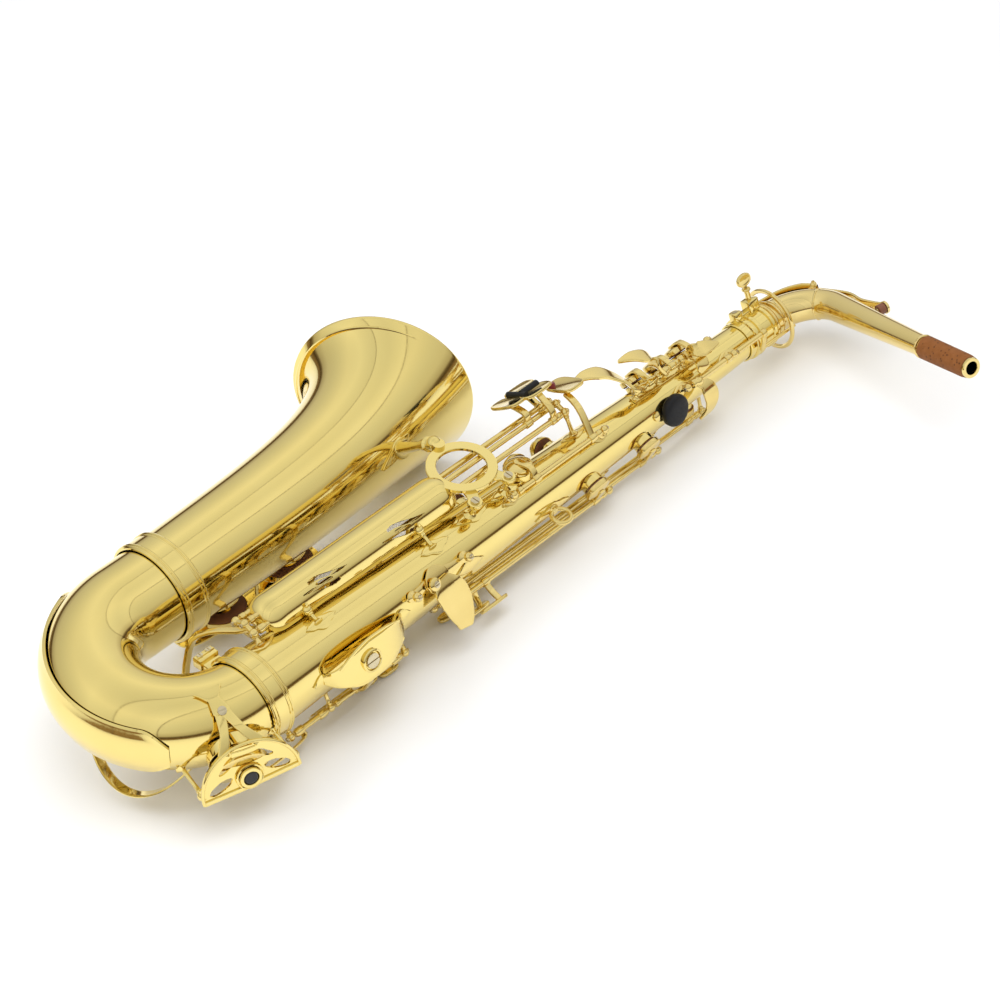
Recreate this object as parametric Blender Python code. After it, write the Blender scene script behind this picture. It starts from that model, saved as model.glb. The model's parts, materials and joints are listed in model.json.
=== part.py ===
"""Alto saxophone, lying on its right side, as an assembly of separate named parts.

Every part is laid out in the instrument's own axes, in millimetres: x runs up the body tube from the
bow joint towards the neck, y runs from the body to the bell, and z points to the player's left.
A place on the body is (x, phi, height): phi is 0 at the front, 90 at the left and 180 at the back.
At the end the whole instrument is laid down on the surface that it rests on, and set in metres.
"""

import math

import bmesh
import bpy
import numpy as np
from mathutils import Matrix, Vector

MM = 0.001

# Clearances
GAP = 0.3  # between pieces that seat on each other

# Body tube, bow and bell
BODY_LENGTH = 491.0
BODY_FOOT_RADIUS = 28.5
BODY_TOP_RADIUS = 13.2
WALL = 1.0
BOW_SPACING = 114.0
BOW_RISE = 4.0  # how far the bend's centre stands above the body joint
BELL_JOINT_X = 31.0
BELL_FOOT_RADIUS = 33.5
BELL_RIM_RADIUS = 64.0
BELL_RIM_X = 279.0
BELL_RIM_Y = 148.0
BELL_LEAN = 2.0
BELL_RIM_LEAN = 32.0
BELL_TAPER = 7.0  # radius gained along the bell before its flare
FLARE_POWER = 6.0
RIM_WIRE = 1.6
RING_WIDTH = 18.0
RING_THICKNESS = 1.6

# Neck
RECEIVER_LENGTH = 26.0
RECEIVER_RADIUS = 15.4
NECK_BEND = 30.0
NECK_TURN = 105.0
NECK_RUN = 159.0
NECK_FOOT_RADIUS = 12.2
NECK_TIP_RADIUS = 5.9
NECK_SET = 18.0  # the neck points this far to the player's left of straight back
CORK_LENGTH = 54.0
CORK_RADIUS = 8.0

# Keywork
HINGE_RADIUS = 2.0
POST_BALL = 3.0
POST_STEM = 1.5
CHIMNEY = 3.0  # height of a tone hole's wall
PAD_THICKNESS = 3.4
PAD_OVERLAP = 1.6  # how far a pad reaches past its tone hole
ARM_WIDTH = 5.0
ARM_THICKNESS = 2.2
TOUCH_THICKNESS = 2.4

ROUND = 24  # sides of the large tubes
SMALL_ROUND = 10
ROD_ROUND = 6

BRASS = (0.83, 0.60, 0.22)
NECK_BRASS = (0.86, 0.66, 0.28)
LEATHER = (0.28, 0.09, 0.04)
CORK = (0.50, 0.25, 0.12)
BLACK = (0.015, 0.015, 0.016)
STEEL = (0.75, 0.74, 0.72)
PEARL = (0.86, 0.85, 0.80)


def clear_scene():
    for obj in list(bpy.data.objects):
        bpy.data.objects.remove(obj, do_unlink=True)


def material(name, colour, roughness, metallic):
    """One material for each finish, made on first use."""
    found = bpy.data.materials.get(name)
    if found:
        return found
    made = bpy.data.materials.new(name)
    made.use_nodes = True
    shader = made.node_tree.nodes["Principled BSDF"]
    shader.inputs["Base Color"].default_value = (*colour, 1.0)
    shader.inputs["Roughness"].default_value = roughness
    shader.inputs["Metallic"].default_value = metallic
    return made


def brass():
    return material("lacquered_brass", BRASS, 0.16, 1.0)


def neck_brass():
    return material("neck_brass", NECK_BRASS, 0.2, 1.0)


def leather():
    return material("pad_leather", LEATHER, 0.7, 0.0)


def cork():
    return material("cork", CORK, 0.85, 0.0)


def black_plastic():
    return material("black_plastic", BLACK, 0.35, 0.0)


def steel():
    return material("steel", STEEL, 0.25, 1.0)


def pearl():
    return material("pearl", PEARL, 0.2, 0.0)


# ---------------------------------------------------------------- geometry helpers


def body_radius(x):
    """Outer radius of the body tube at x."""
    share = x / BODY_LENGTH
    return BODY_FOOT_RADIUS + (BODY_TOP_RADIUS - BODY_FOOT_RADIUS) * share


def on_body(x, phi, height=0.0):
    """A point at this height over the body tube's surface."""
    radius = body_radius(x) + height
    angle = math.radians(phi)
    return Vector((x, radius * math.cos(angle), radius * math.sin(angle)))


def outward(phi):
    angle = math.radians(phi)
    return Vector((0.0, math.cos(angle), math.sin(angle)))


def basis(normal, along):
    """Rotation whose Z is normal and whose X lies as near to along as it can."""
    z = normal.normalized()
    x = (along - z * along.dot(z)).normalized()
    return Matrix((x, z.cross(x), z)).transposed()


def placed(bm, rotation, origin):
    bmesh.ops.transform(bm, matrix=Matrix.Translation(origin) @ rotation.to_4x4(), verts=bm.verts)
    return bm


def ring_of(bm, centre, rotation, radius, sides):
    """A loop of vertices about rotation's Z axis."""
    loop = []
    for i in range(sides):
        turn = 2 * math.pi * i / sides
        offset = Vector((radius * math.cos(turn), radius * math.sin(turn), 0.0))
        loop.append(bm.verts.new(centre + rotation @ offset))
    return loop


def stitch(bm, first, second):
    for i in range(len(first)):
        j = (i + 1) % len(first)
        bm.faces.new((first[i], first[j], second[j], second[i]))


def shell(path, sides, closed_section=True):
    """Faces along a list of (centre, rotation, radius); the section loops back to the first ring."""
    bm = bmesh.new()
    rings = [ring_of(bm, centre, turn, radius, sides) for centre, turn, radius in path]
    for first, second in zip(rings, rings[1:]):
        stitch(bm, first, second)
    if closed_section:
        stitch(bm, rings[-1], rings[0])
    else:
        bm.faces.new(reversed(rings[0]))
        bm.faces.new(rings[-1])
    bmesh.ops.recalc_face_normals(bm, faces=bm.faces)
    return bm


def hollow(stations, wall, sides):
    """A tube with open ends from (centre, direction, outer radius) stations."""
    outer = [(c, basis(d, Vector((0, 0, 1))), r) for c, d, r in stations]
    inner = [(c, turn, r - wall) for c, turn, r in reversed(outer)]
    return shell(outer + inner, sides)


def solid_rod(start, end, radius, sides=ROD_ROUND, end_radius=None):
    direction = end - start
    side = Vector((0, 0, 1)) if abs(direction.normalized().z) < 0.9 else Vector((1, 0, 0))
    turn = basis(direction, side)
    last = radius if end_radius is None else end_radius
    return shell([(start, turn, radius), (end, turn, last)], sides, closed_section=False)


def turned(profile, origin, direction, sides=SMALL_ROUND):
    """A solid of revolution from (radius, height) pairs along direction."""
    side = Vector((1, 0, 0)) if abs(direction.normalized().x) < 0.9 else Vector((0, 0, 1))
    turn = basis(direction, side)
    stations = [(origin + direction.normalized() * h, turn, r) for r, h in profile]
    return shell(stations, sides, closed_section=False)


def ball(centre, radius, sides=ROD_ROUND):
    bm = bmesh.new()
    bmesh.ops.create_uvsphere(bm, u_segments=sides, v_segments=sides // 2 + 1, radius=radius)
    bmesh.ops.translate(bm, vec=centre, verts=bm.verts)
    return bm


def bar(start, end, width, thickness, normal):
    """A flat bar between two points, its broad face across normal."""
    direction = end - start
    side = normal.cross(direction)
    bm = bmesh.new()
    bmesh.ops.create_cube(bm, size=1.0)
    size = (direction.length, width, thickness)
    bmesh.ops.scale(bm, vec=size, verts=bm.verts)
    return placed(bm, basis(direction.cross(side), direction), (start + end) / 2)


def plate(outline, thickness, origin, normal, along):
    """A flat plate with a closed outline of (x, y) points, its underside at origin."""
    bm = bmesh.new()
    face = bm.faces.new([bm.verts.new((x, y, 0.0)) for x, y in outline])
    made = bmesh.ops.extrude_face_region(bm, geom=[face])
    top = [v for v in made["geom"] if isinstance(v, bmesh.types.BMVert)]
    bmesh.ops.translate(bm, vec=(0, 0, thickness), verts=top)
    bmesh.ops.recalc_face_normals(bm, faces=bm.faces)
    return placed(bm, basis(normal, along), origin)


def rounded_outline(length, width, steps=4):
    """A bar with half-round ends, lying along X, or along Y where width is the greater."""
    if width > length:
        return [(-y, x) for x, y in rounded_outline(width, length, steps)]
    radius = width / 2
    points = []
    for side in (1, -1):
        centre = side * (length / 2 - radius)
        for i in range(steps + 1):
            angle = -math.pi / 2 + math.pi * i / steps
            points.append((centre + side * radius * math.cos(angle), side * radius * math.sin(angle)))
    return points


def pieces(meshes):
    """Temporary objects for a Boolean, kept out of the model."""
    made = []
    for bm in meshes:
        mesh = bpy.data.meshes.new("piece")
        bm.to_mesh(mesh)
        bm.free()
        obj = bpy.data.objects.new("piece", mesh)
        obj.hide_render = True
        bpy.context.collection.objects.link(obj)
        made.append(obj)
    return made


def finish(name, mesh, finish_material):
    obj = bpy.data.objects.new(name, mesh)
    bpy.context.collection.objects.link(obj)
    mesh.materials.clear()
    mesh.materials.append(finish_material)
    mesh.shade_smooth()
    mesh.set_sharp_from_angle(angle=math.radians(35))
    return obj


def make(name, finish_material, solids, cuts=()):
    """One closed part: the union of solids, less the cuts."""
    joined = pieces(solids)
    cutters = pieces(cuts)
    base = joined[0]
    for operation, others in (("UNION", joined[1:]), ("DIFFERENCE", cutters)):
        for other in others:
            modifier = base.modifiers.new(operation, "BOOLEAN")
            modifier.operation = operation
            modifier.object = other
    graph = bpy.context.evaluated_depsgraph_get()
    mesh = bpy.data.meshes.new_from_object(base.evaluated_get(graph))
    mesh.name = name
    for obj in joined + cutters:
        bpy.data.objects.remove(obj, do_unlink=True)
    return finish(name, mesh, finish_material)


# ---------------------------------------------------------------- tone holes

# name: (x, phi, hole radius)
HOLES = {
    "low_eb": (84.0, 202.0, 13.5),
    "key_d": (88.0, 352.0, 12.5),
    "key_e": (126.0, 352.0, 12.0),
    "key_f": (162.0, 352.0, 11.0),
    "key_fsharp": (194.0, 352.0, 8.0),
    "g_sharp": (262.0, 82.0, 8.0),
    "key_g": (226.0, 352.0, 10.0),
    "key_a": (258.0, 352.0, 8.5),
    "key_b": (286.0, 352.0, 8.0),
    "key_c": (312.0, 352.0, 7.0),
    "side_bb": (312.0, 204.0, 7.5),
    "side_c": (367.0, 204.0, 7.0),
    "high_e": (425.0, 262.0, 6.0),
    "palm_d": (393.0, 40.0, 7.0),
    "palm_eb": (414.0, 48.0, 6.5),
    "palm_f": (438.0, 40.0, 6.0),
}


def hole_axis(name):
    """(centre on the tube's surface, outward direction) of a tone hole."""
    if name in BOW_HOLES:
        turn, around, _ = BOW_HOLES[name]
        return on_bow(turn, around), bow_outward(turn, around)
    if name in BELL_HOLES:
        share, _ = BELL_HOLES[name]
        centre, _, radius = bell_station(share)
        return centre + Vector((0, 0, -radius)), Vector((0, 0, -1))
    x, phi, _ = HOLES[name]
    return on_body(x, phi), outward(phi)


def hole_radius(name):
    for table in (HOLES, BOW_HOLES, BELL_HOLES):
        if name in table:
            return table[name][-1]
    raise KeyError(name)


# On the bow: (turn round the bend from the body side, angle about the tube from its outer side, radius)
BOW_HOLES = {"low_c": (22.0, 345.0, 16.0), "low_csharp": (170.0, 270.0, 14.0)}
# On the bell's right side: (share of the bell's length from its foot, radius)
BELL_HOLES = {"low_b": (0.2, 16.0), "low_bb": (0.43, 17.0)}


# ---------------------------------------------------------------- bow and bell lines


def bow_radius(turn):
    return BODY_FOOT_RADIUS + (BELL_FOOT_RADIUS - BODY_FOOT_RADIUS) * turn / 180.0


def bow_centre(turn):
    angle = math.radians(turn)
    bend = BOW_SPACING / 2
    return Vector((BOW_RISE - bend * math.sin(angle), bend - bend * math.cos(angle), 0.0))


def bow_outward(turn, around):
    """Direction out of the bow's tube: around is 0 on the bend's outer side and 90 on the left."""
    angle = math.radians(turn)
    outer = Vector((-math.sin(angle), -math.cos(angle), 0.0))
    return outer * math.cos(math.radians(around)) + Vector((0, 0, math.sin(math.radians(around))))


def on_bow(turn, around, height=0.0):
    return bow_centre(turn) + bow_outward(turn, around) * (bow_radius(turn) + height)


def bell_station(share):
    """(centre, direction, outer radius) at a share of the bell's length from its foot."""
    lean = math.radians(BELL_LEAN)
    end_lean = math.radians(BELL_RIM_LEAN)
    start = Vector((BELL_JOINT_X, BOW_SPACING, 0.0))
    end = Vector((BELL_RIM_X, BELL_RIM_Y, 0.0))
    length = (end - start).length
    pull = length * Vector((math.cos(lean), math.sin(lean), 0.0))
    end_pull = 0.8 * length * Vector((math.cos(end_lean), math.sin(end_lean), 0.0))
    t = share
    centre = (
        (2 * t**3 - 3 * t**2 + 1) * start
        + (t**3 - 2 * t**2 + t) * pull
        + (3 * t**2 - 2 * t**3) * end
        + (t**3 - t**2) * end_pull
    )
    direction = (
        (6 * t**2 - 6 * t) * start
        + (3 * t**2 - 4 * t + 1) * pull
        + (6 * t - 6 * t**2) * end
        + (3 * t**2 - 2 * t) * end_pull
    )
    flare = BELL_RIM_RADIUS - BELL_FOOT_RADIUS - BELL_TAPER
    return centre, direction.normalized(), BELL_FOOT_RADIUS + BELL_TAPER * t + flare * t**FLARE_POWER


def neck_point(distance):
    """(centre, direction, outer radius) along the neck from the receiver's top, before its set."""
    turn_length = NECK_BEND * math.radians(NECK_TURN)
    rise = 8.0
    total = rise + turn_length + NECK_RUN
    radius = NECK_FOOT_RADIUS + (NECK_TIP_RADIUS - NECK_FOOT_RADIUS) * max(distance - rise, 0) / (total - rise)
    top = NECK_X + rise
    if distance <= rise:
        return Vector((NECK_X + distance, 0, 0)), Vector((1, 0, 0)), radius
    if distance <= rise + turn_length:
        angle = (distance - rise) / NECK_BEND
        centre = Vector((top + NECK_BEND * math.sin(angle), -NECK_BEND * (1 - math.cos(angle)), 0))
        return centre, Vector((math.cos(angle), -math.sin(angle), 0)), radius
    angle = math.radians(NECK_TURN)
    centre = Vector((top + NECK_BEND * math.sin(angle), -NECK_BEND * (1 - math.cos(angle)), 0))
    direction = Vector((math.cos(angle), -math.sin(angle), 0))
    return centre + direction * (distance - rise - turn_length), direction, radius


NECK_X = BODY_LENGTH + RECEIVER_LENGTH + 2.0
NECK_LENGTH = 8.0 + NECK_BEND * math.radians(NECK_TURN) + NECK_RUN
NECK_TURN_BACK = Matrix.Rotation(math.radians(-NECK_SET), 3, "X")


def neck_set(obj):
    """Turns a neck piece from straight back to where the neck is set."""
    obj.data.transform(NECK_TURN_BACK.to_4x4())
    return obj


# ---------------------------------------------------------------- tubes


def chimney(name):
    centre, direction = hole_axis(name)
    radius = hole_radius(name) + WALL
    return turned([(radius, -4.0), (radius, CHIMNEY)], centre, direction, SMALL_ROUND)


def chimney_cut(name):
    centre, direction = hole_axis(name)
    radius = hole_radius(name)
    return turned([(radius, -9.0), (radius, CHIMNEY + 3.0)], centre, direction, SMALL_ROUND)


def bore_plug(stations, wall):
    """The air column of a tube, to trim the chimneys' feet with."""
    inner = [(c, basis(d, Vector((0, 0, 1))), r - wall - 0.05) for c, d, r in stations]
    return shell(inner, ROUND, closed_section=False)


def make_body_tube():
    foot = RING_WIDTH * 0.3
    stations = [(Vector((x, 0, 0)), Vector((1, 0, 0)), body_radius(x)) for x in (foot, BODY_LENGTH)]
    solids = [hollow(stations, WALL, ROUND)] + [chimney(name) for name in HOLES]
    cuts = [bore_plug([(c + (c - Vector((BODY_LENGTH / 2, 0, 0))) * 0.01, d, r) for c, d, r in stations], WALL)]
    cuts += [chimney_cut(name) for name in HOLES]
    return make("body_tube", brass(), solids, cuts)


def bow_stations():
    foot = RING_WIDTH * 0.3 - GAP
    stations = [(Vector((foot, 0, 0)), Vector((-1, 0, 0)), BODY_FOOT_RADIUS)]
    steps = 14
    for i in range(steps + 1):
        turn = 180.0 * i / steps
        angle = math.radians(turn)
        direction = Vector((-math.cos(angle), math.sin(angle), 0))
        stations.append((bow_centre(turn), direction, bow_radius(turn)))
    lean = math.radians(BELL_LEAN)
    end = Vector((BELL_JOINT_X - GAP - 0.1, BOW_SPACING, 0))
    return stations + [(end, Vector((math.cos(lean), math.sin(lean), 0)), BELL_FOOT_RADIUS)]


def make_bow():
    stations = bow_stations()
    solids = [hollow(stations, WALL, ROUND)] + [chimney(name) for name in BOW_HOLES]
    cuts = [bore_plug(stations, WALL)] + [chimney_cut(name) for name in BOW_HOLES]
    return make("bow", brass(), solids, cuts)


def bell_stations():
    shares = [0.0, 0.2, 0.4, 0.55, 0.68, 0.78, 0.86, 0.92, 0.965, 1.0]
    return [bell_station(share) for share in shares]


def make_bell():
    stations = bell_stations()
    centre, direction, radius = stations[-1]
    turn = basis(direction, Vector((0, 0, 1)))
    outer = [(c, basis(d, Vector((0, 0, 1))), r) for c, d, r in stations]
    lip = [
        (centre + direction * 0.4, turn, radius),
        (centre + direction * (2 * RIM_WIRE), turn, radius - 0.6),
        (centre + direction * (2 * RIM_WIRE), turn, radius - 2 * RIM_WIRE),
    ]
    inner = [(c, rotation, r - WALL) for c, rotation, r in reversed(outer[:-1])]
    solids = [shell(outer + lip + inner, ROUND)] + [chimney(name) for name in BELL_HOLES]
    cuts = [bore_plug(stations[:-2], WALL)] + [chimney_cut(name) for name in BELL_HOLES]
    return make("bell", brass(), solids, cuts)


def make_body_bow_ring():
    """The clamp over the joint, with a lug and two screws in the gap of the bow."""
    low, high = 1.0, RING_WIDTH
    inner = BODY_FOOT_RADIUS + 3 * GAP
    outer = inner + RING_THICKNESS
    turn = basis(Vector((1, 0, 0)), Vector((0, 0, 1)))
    section = [(low, outer), (high, outer), (high, inner), (low, inner)]
    ring = shell([(Vector((x, 0, 0)), turn, r) for x, r in section], ROUND)
    lug = bar(Vector((-2, outer + 3.5, 14)), Vector((11, outer + 3.5, 14)), 9.0, 7.0, Vector((0, 0, 1)))
    foot = bar(Vector((-1, outer - 5, 14)), Vector((10, outer - 5, 14)), 14.0, 5.0, Vector((0, 0, 1)))
    screws = [
        turned([(2.0, 0), (2.0, 4.6)], Vector((x, outer + 4.5, 14)), Vector((0, 0, 1)), 8)
        for x in (1.5, 7.5)
    ]
    return make("body_bow_clamp_ring", brass(), [ring, lug, foot] + screws, [bore_cylinder(inner)])


def bore_cylinder(radius):
    return turned([(radius, -40), (radius, 60)], Vector((0, 0, 0)), Vector((1, 0, 0)), ROUND)


def make_bell_bow_ring():
    low, high = BELL_JOINT_X - 2.0, BELL_JOINT_X + RING_WIDTH
    inner = BELL_FOOT_RADIUS + 1.0
    outer = inner + RING_THICKNESS
    lean = math.radians(BELL_LEAN)
    direction = Vector((math.cos(lean / 2), math.sin(lean / 2), 0))
    turn = basis(direction, Vector((0, 0, 1)))
    base = Vector((BELL_JOINT_X, BOW_SPACING, 0))
    section = [(low, outer), (high, outer), (high, inner), (low, inner)]
    path = [(base + direction * (x - BELL_JOINT_X), turn, r) for x, r in section]
    return finish_bm("bell_bow_ring", brass(), shell(path, ROUND))


def finish_bm(name, finish_material, bm):
    mesh = bpy.data.meshes.new(name)
    bm.to_mesh(mesh)
    bm.free()
    return finish(name, mesh, finish_material)


BOW_PLATE_SPAN = 34.0  # degrees to each side of the bend's outer line
BOW_PLATE_TURN = (48.0, 172.0)
BOW_PLATE_THICKNESS = 1.2


def make_bow_guard_plate():
    """The long shield over the bend's outer side."""
    bm = bmesh.new()
    rows = []
    steps, across = 12, 6
    for i in range(steps + 1):
        turn = BOW_PLATE_TURN[0] + (BOW_PLATE_TURN[1] - BOW_PLATE_TURN[0]) * i / steps
        fade = math.sin(math.pi * min(i, steps - i, 2) / 4)
        under, over = [], []
        for j in range(across + 1):
            around = BOW_PLATE_SPAN * (0.45 + 0.55 * fade) * (2 * j / across - 1)
            under.append(bm.verts.new(on_bow(turn, around, 1.3)))
            over.append(bm.verts.new(on_bow(turn, around, 1.3 + BOW_PLATE_THICKNESS)))
        rows.append(under + over[::-1])
    for first, second in zip(rows, rows[1:]):
        stitch(bm, first, second)
    bm.faces.new(reversed(rows[0]))
    bm.faces.new(rows[-1])
    bmesh.ops.recalc_face_normals(bm, faces=bm.faces)
    return finish_bm("bow_guard_plate", brass(), bm)


def make_receiver():
    """Neck socket at the body's top, split at its thumb screw."""
    low = BODY_LENGTH - 4.0
    high = BODY_LENGTH + RECEIVER_LENGTH
    turn = basis(Vector((1, 0, 0)), Vector((0, 0, 1)))
    bore = BODY_TOP_RADIUS + GAP + 0.2
    section = [
        (low, RECEIVER_RADIUS - 0.6),
        (low + 5, RECEIVER_RADIUS - 0.6),
        (low + 5, RECEIVER_RADIUS),
        (high, RECEIVER_RADIUS),
        (high, bore),
        (low, bore),
    ]
    sleeve = shell([(Vector((x, 0, 0)), turn, r) for x, r in section], ROUND)
    screw = outward(SCREW_PHI)
    lug = bar(on_axis(SCREW_X - 5, SCREW_PHI, 19), on_axis(SCREW_X + 5, SCREW_PHI, 19), 9.0, 9.0, screw)
    lyre = bar(on_axis(low + 3, SCREW_PHI, 18), on_axis(low + 10, SCREW_PHI, 18), 7.0, 7.0, screw)
    bridge = bar(on_axis(low + 4, SCREW_PHI, 17), on_axis(high - 4, SCREW_PHI, 17), 6.0, 4.0, screw)
    cut = turned([(bore, -10), (bore, 60)], Vector((BODY_LENGTH - 20, 0, 0)), Vector((1, 0, 0)), ROUND)
    return make("neck_receiver", brass(), [sleeve, lug, lyre, bridge], [cut])


SCREW_X = BODY_LENGTH + RECEIVER_LENGTH - 7.0
SCREW_PHI = 68.0  # the lug, the lyre holder and the thumb screw stand here


def on_axis(x, phi, radius):
    return Vector((x, 0, 0)) + outward(phi) * radius


# ---------------------------------------------------------------- neck


def make_neck_tube():
    tip = NECK_LENGTH
    turn_length = NECK_BEND * math.radians(NECK_TURN)
    marks = [0.0, 8.0] + [8.0 + turn_length * i / 9 for i in range(1, 10)] + [tip - CORK_LENGTH * 0.5, tip]
    stations = [neck_point(mark) for mark in marks]
    tube = hollow(stations, WALL, 20)
    collar = hollow([(Vector((NECK_X - 1.6, 0, 0)), Vector((1, 0, 0)), 14.6), (Vector((NECK_X + 6, 0, 0)), Vector((1, 0, 0)), 14.2)], 3.4, 20)
    tenon = hollow([(Vector((NECK_X - 16, 0, 0)), Vector((1, 0, 0)), 12.6), (Vector((NECK_X + 2, 0, 0)), Vector((1, 0, 0)), 12.6)], 1.4, 20)
    saddle_at, _, _ = neck_point(NECK_SADDLE)
    side = Vector((0, 0, 1))
    pip_at, _, pip_radius = neck_point(NECK_PIP)
    pip = turned([(2.6, 0.0), (1.8, 1.5), (1.8, 4.0)], pip_at + out_of_neck(NECK_PIP) * (pip_radius - 0.5), out_of_neck(NECK_PIP), 8)
    posts = []
    for sign in (1, -1):
        foot = saddle_at + side * sign * 7.2 + out_of_neck(NECK_SADDLE) * 8.0
        head = saddle_at + side * sign * 7.2 + out_of_neck(NECK_SADDLE) * NECK_HINGE
        posts.append(solid_rod(foot, head, 1.6))
        posts.append(ball(head, 2.4))
    return neck_set(make("neck_tube", neck_brass(), [tube, collar, tenon, pip] + posts))


NECK_SADDLE = 40.0  # distance along the neck of the octave key's hinge
NECK_PIP = 104.0
NECK_HINGE = 17.0  # distance of that hinge from the neck's centre line


def out_of_neck(distance):
    """Direction out of the bend's outer side."""
    _, direction, _ = neck_point(distance)
    return Vector((-direction.y, direction.x, 0)).normalized()


def make_cork():
    start = neck_point(NECK_LENGTH - CORK_LENGTH)
    end = neck_point(NECK_LENGTH - 1.5)
    turn = basis(start[1], Vector((0, 0, 1)))
    inner_start, inner_end = start[2] + GAP, end[2] + GAP
    path = [
        (start[0], turn, CORK_RADIUS + 0.3),
        (end[0] - end[1] * 1.0, turn, CORK_RADIUS),
        (end[0], turn, CORK_RADIUS - 0.5),
        (end[0], turn, inner_end),
        (start[0], turn, inner_start + 0.05),
    ]
    return neck_set(finish_bm("neck_cork", cork(), shell(path, 20)))


def make_neck_octave_key():
    """A long lever on the neck's back, with a loop round the receiver at its foot."""
    hinge = neck_hinge()
    side = Vector((0, 0, 1))
    tube = solid_rod(hinge - side * 4.3, hinge + side * 4.3, 2.4)
    pad_at, _, pad_radius = neck_point(NECK_PIP)
    out = out_of_neck(NECK_PIP)
    over_pad = pad_at + out * (pad_radius + 10.6)
    marks = [hinge + out_of_neck(NECK_SADDLE) * 0.5]
    for distance in (62.0, 80.0, 96.0):
        centre, _, radius = neck_point(distance)
        marks.append(centre + out_of_neck(distance) * (radius + 8.5))
    marks.append(over_pad)
    solids = [tube]
    solids += linked(marks, 7.0, ARM_THICKNESS + 0.3, side)
    solids.append(turned([(4.6, -1.4), (4.6, 0.4), (2.5, 1.8)], over_pad, out, 12))
    # The loop goes right round the receiver, highest in front where it meets the lever
    loop_x = NECK_X + 4.0
    rings = []
    for i in range(18):
        angle = 2 * math.pi * i / 18
        rise = 5.0 * (1 + math.cos(angle)) / 2
        centre = Vector((loop_x + rise, LOOP_RADIUS * math.cos(angle), LOOP_RADIUS * math.sin(angle)))
        tangent = Vector((0, -math.sin(angle), math.cos(angle)))
        rings.append((centre, basis(tangent, Vector((1, 0, 0))), 1.7))
    solids.append(shell(rings, 6))
    front = Vector((loop_x + 5.0, LOOP_RADIUS, 0))
    over_bend = 8.0 + NECK_BEND * math.radians(36.0)
    centre, _, radius = neck_point(over_bend)
    crest = centre + out_of_neck(over_bend) * (radius + 6.0)
    solids += linked([front, crest, hinge], 8.0, ARM_THICKNESS, side)
    return neck_set(make("neck_octave_key", neck_brass(), solids))


LOOP_RADIUS = 22.0


def neck_hinge():
    centre, _, _ = neck_point(NECK_SADDLE)
    return centre + out_of_neck(NECK_SADDLE) * NECK_HINGE


def make_neck_octave_pad():
    pad_at, _, pad_radius = neck_point(NECK_PIP)
    out = out_of_neck(NECK_PIP)
    low = pad_radius + 3.5 + 0.5
    return neck_set(finish_bm("neck_octave_pad", leather(), turned([(3.9, low), (3.9, low + 4.0)], pad_at, out, 12)))


def make_neck_screw():
    foot = on_axis(SCREW_X, SCREW_PHI, 24.0)
    out = outward(SCREW_PHI)
    stem = turned([(2.0, 0.0), (2.0, 7.0), (3.2, 7.6), (3.2, 9.0), (2.0, 10.0)], foot, out, 10)
    paddle = plate(rounded_outline(13.0, 9.0, 5), 2.2, foot + out * 14 - Vector((0, 1, 0)), Vector((0, -out.z, out.y)), Vector((1, 0, 0)))
    neck = solid_rod(foot + out * 9, foot + out * 12, 1.6)
    return make("neck_screw", brass(), [stem, neck, paddle])


# ---------------------------------------------------------------- posts and rails

# A hinge line runs parallel to x. name: (phi, height over the tube at x, x where that height holds)
HINGE_LINES = {
    "lower_stack": (304.0, 7.5, 72.0),
    "upper_stack": (304.0, 7.5, 210.0),
    "low_keys": (243.0, 12.0, 20.0),
    "side_bb": (226.0, 7.0, 170.0),
    "side_c": (240.0, 7.0, 170.0),
    "high_e": (254.0, 7.0, 170.0),
    "g_sharp": (116.0, 7.0, 240.0),
    "palm": (92.0, 7.0, 376.0),
    "octave": (140.0, 7.0, 400.0),
}
# The little-finger keys' long tubes lie side by side under the capsule guard: name: (y, z)
TABLE_LINES = {"table_csharp": (13.0, 33.5), "table_b": (21.0, 36.5), "table_bb": (29.0, 33.5)}


def hinge_point(line, x):
    if line in TABLE_LINES:
        return Vector((x, *TABLE_LINES[line]))
    phi, height, at = HINGE_LINES[line]
    centre = on_body(at, phi, height)
    return Vector((x, centre.y, centre.z))


def post(line, x):
    """A turned post from the tube's rail to the ball that holds the hinge."""
    head = hinge_point(line, x)
    phi = HINGE_LINES[line][0]
    foot = on_body(x, phi, GAP + 0.6)
    return [solid_rod(foot, head, POST_STEM + 0.9, end_radius=POST_STEM), ball(head, POST_BALL)]


def rail_bar(x1, x2, phi):
    return bar(on_body(x1, phi, GAP + 1.0), on_body(x2, phi, GAP + 1.0), 6.4, 1.4, outward(phi))


def pivot_rod(line, x1, x2):
    """The steel rod through a long key's tube, from post to post."""
    return solid_rod(hinge_point(line, x1), hinge_point(line, x2), PIVOT_RADIUS, 6)


PIVOT_RADIUS = 0.9
SHORT_RAILS = {
    # name: (line, where its posts stand)
    "lower_stack_rail": ("lower_stack", (70.0, 106.0, 143.0, 178.0, 204.5)),
    "upper_stack_rail": ("upper_stack", (213.0, 241.0, 271.0, 298.0, 324.0)),
    "low_key_rail": ("low_keys", (24.0, 60.0, 128.0)),
    "palm_rail": ("palm", (376.0, 400.0, 424.0, 452.0)),
    "octave_rail": ("octave", (412.0, 462.0)),
}
SIDE_POSTS = {"side_bb": (178.0, 326.0), "side_c": (172.0, 384.0), "high_e": (166.0, 440.0)}
G_SHARP_POSTS = (240.0, 330.0)
TABLE_POSTS = (27.0, 318.0)


def make_short_rails():
    for name, (line, places) in SHORT_RAILS.items():
        solids = [rail_bar(places[0] - 3.6, places[-1] + 3.6, HINGE_LINES[line][0])]
        for x in places:
            solids += post(line, x)
        make(name, brass(), solids)


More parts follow.
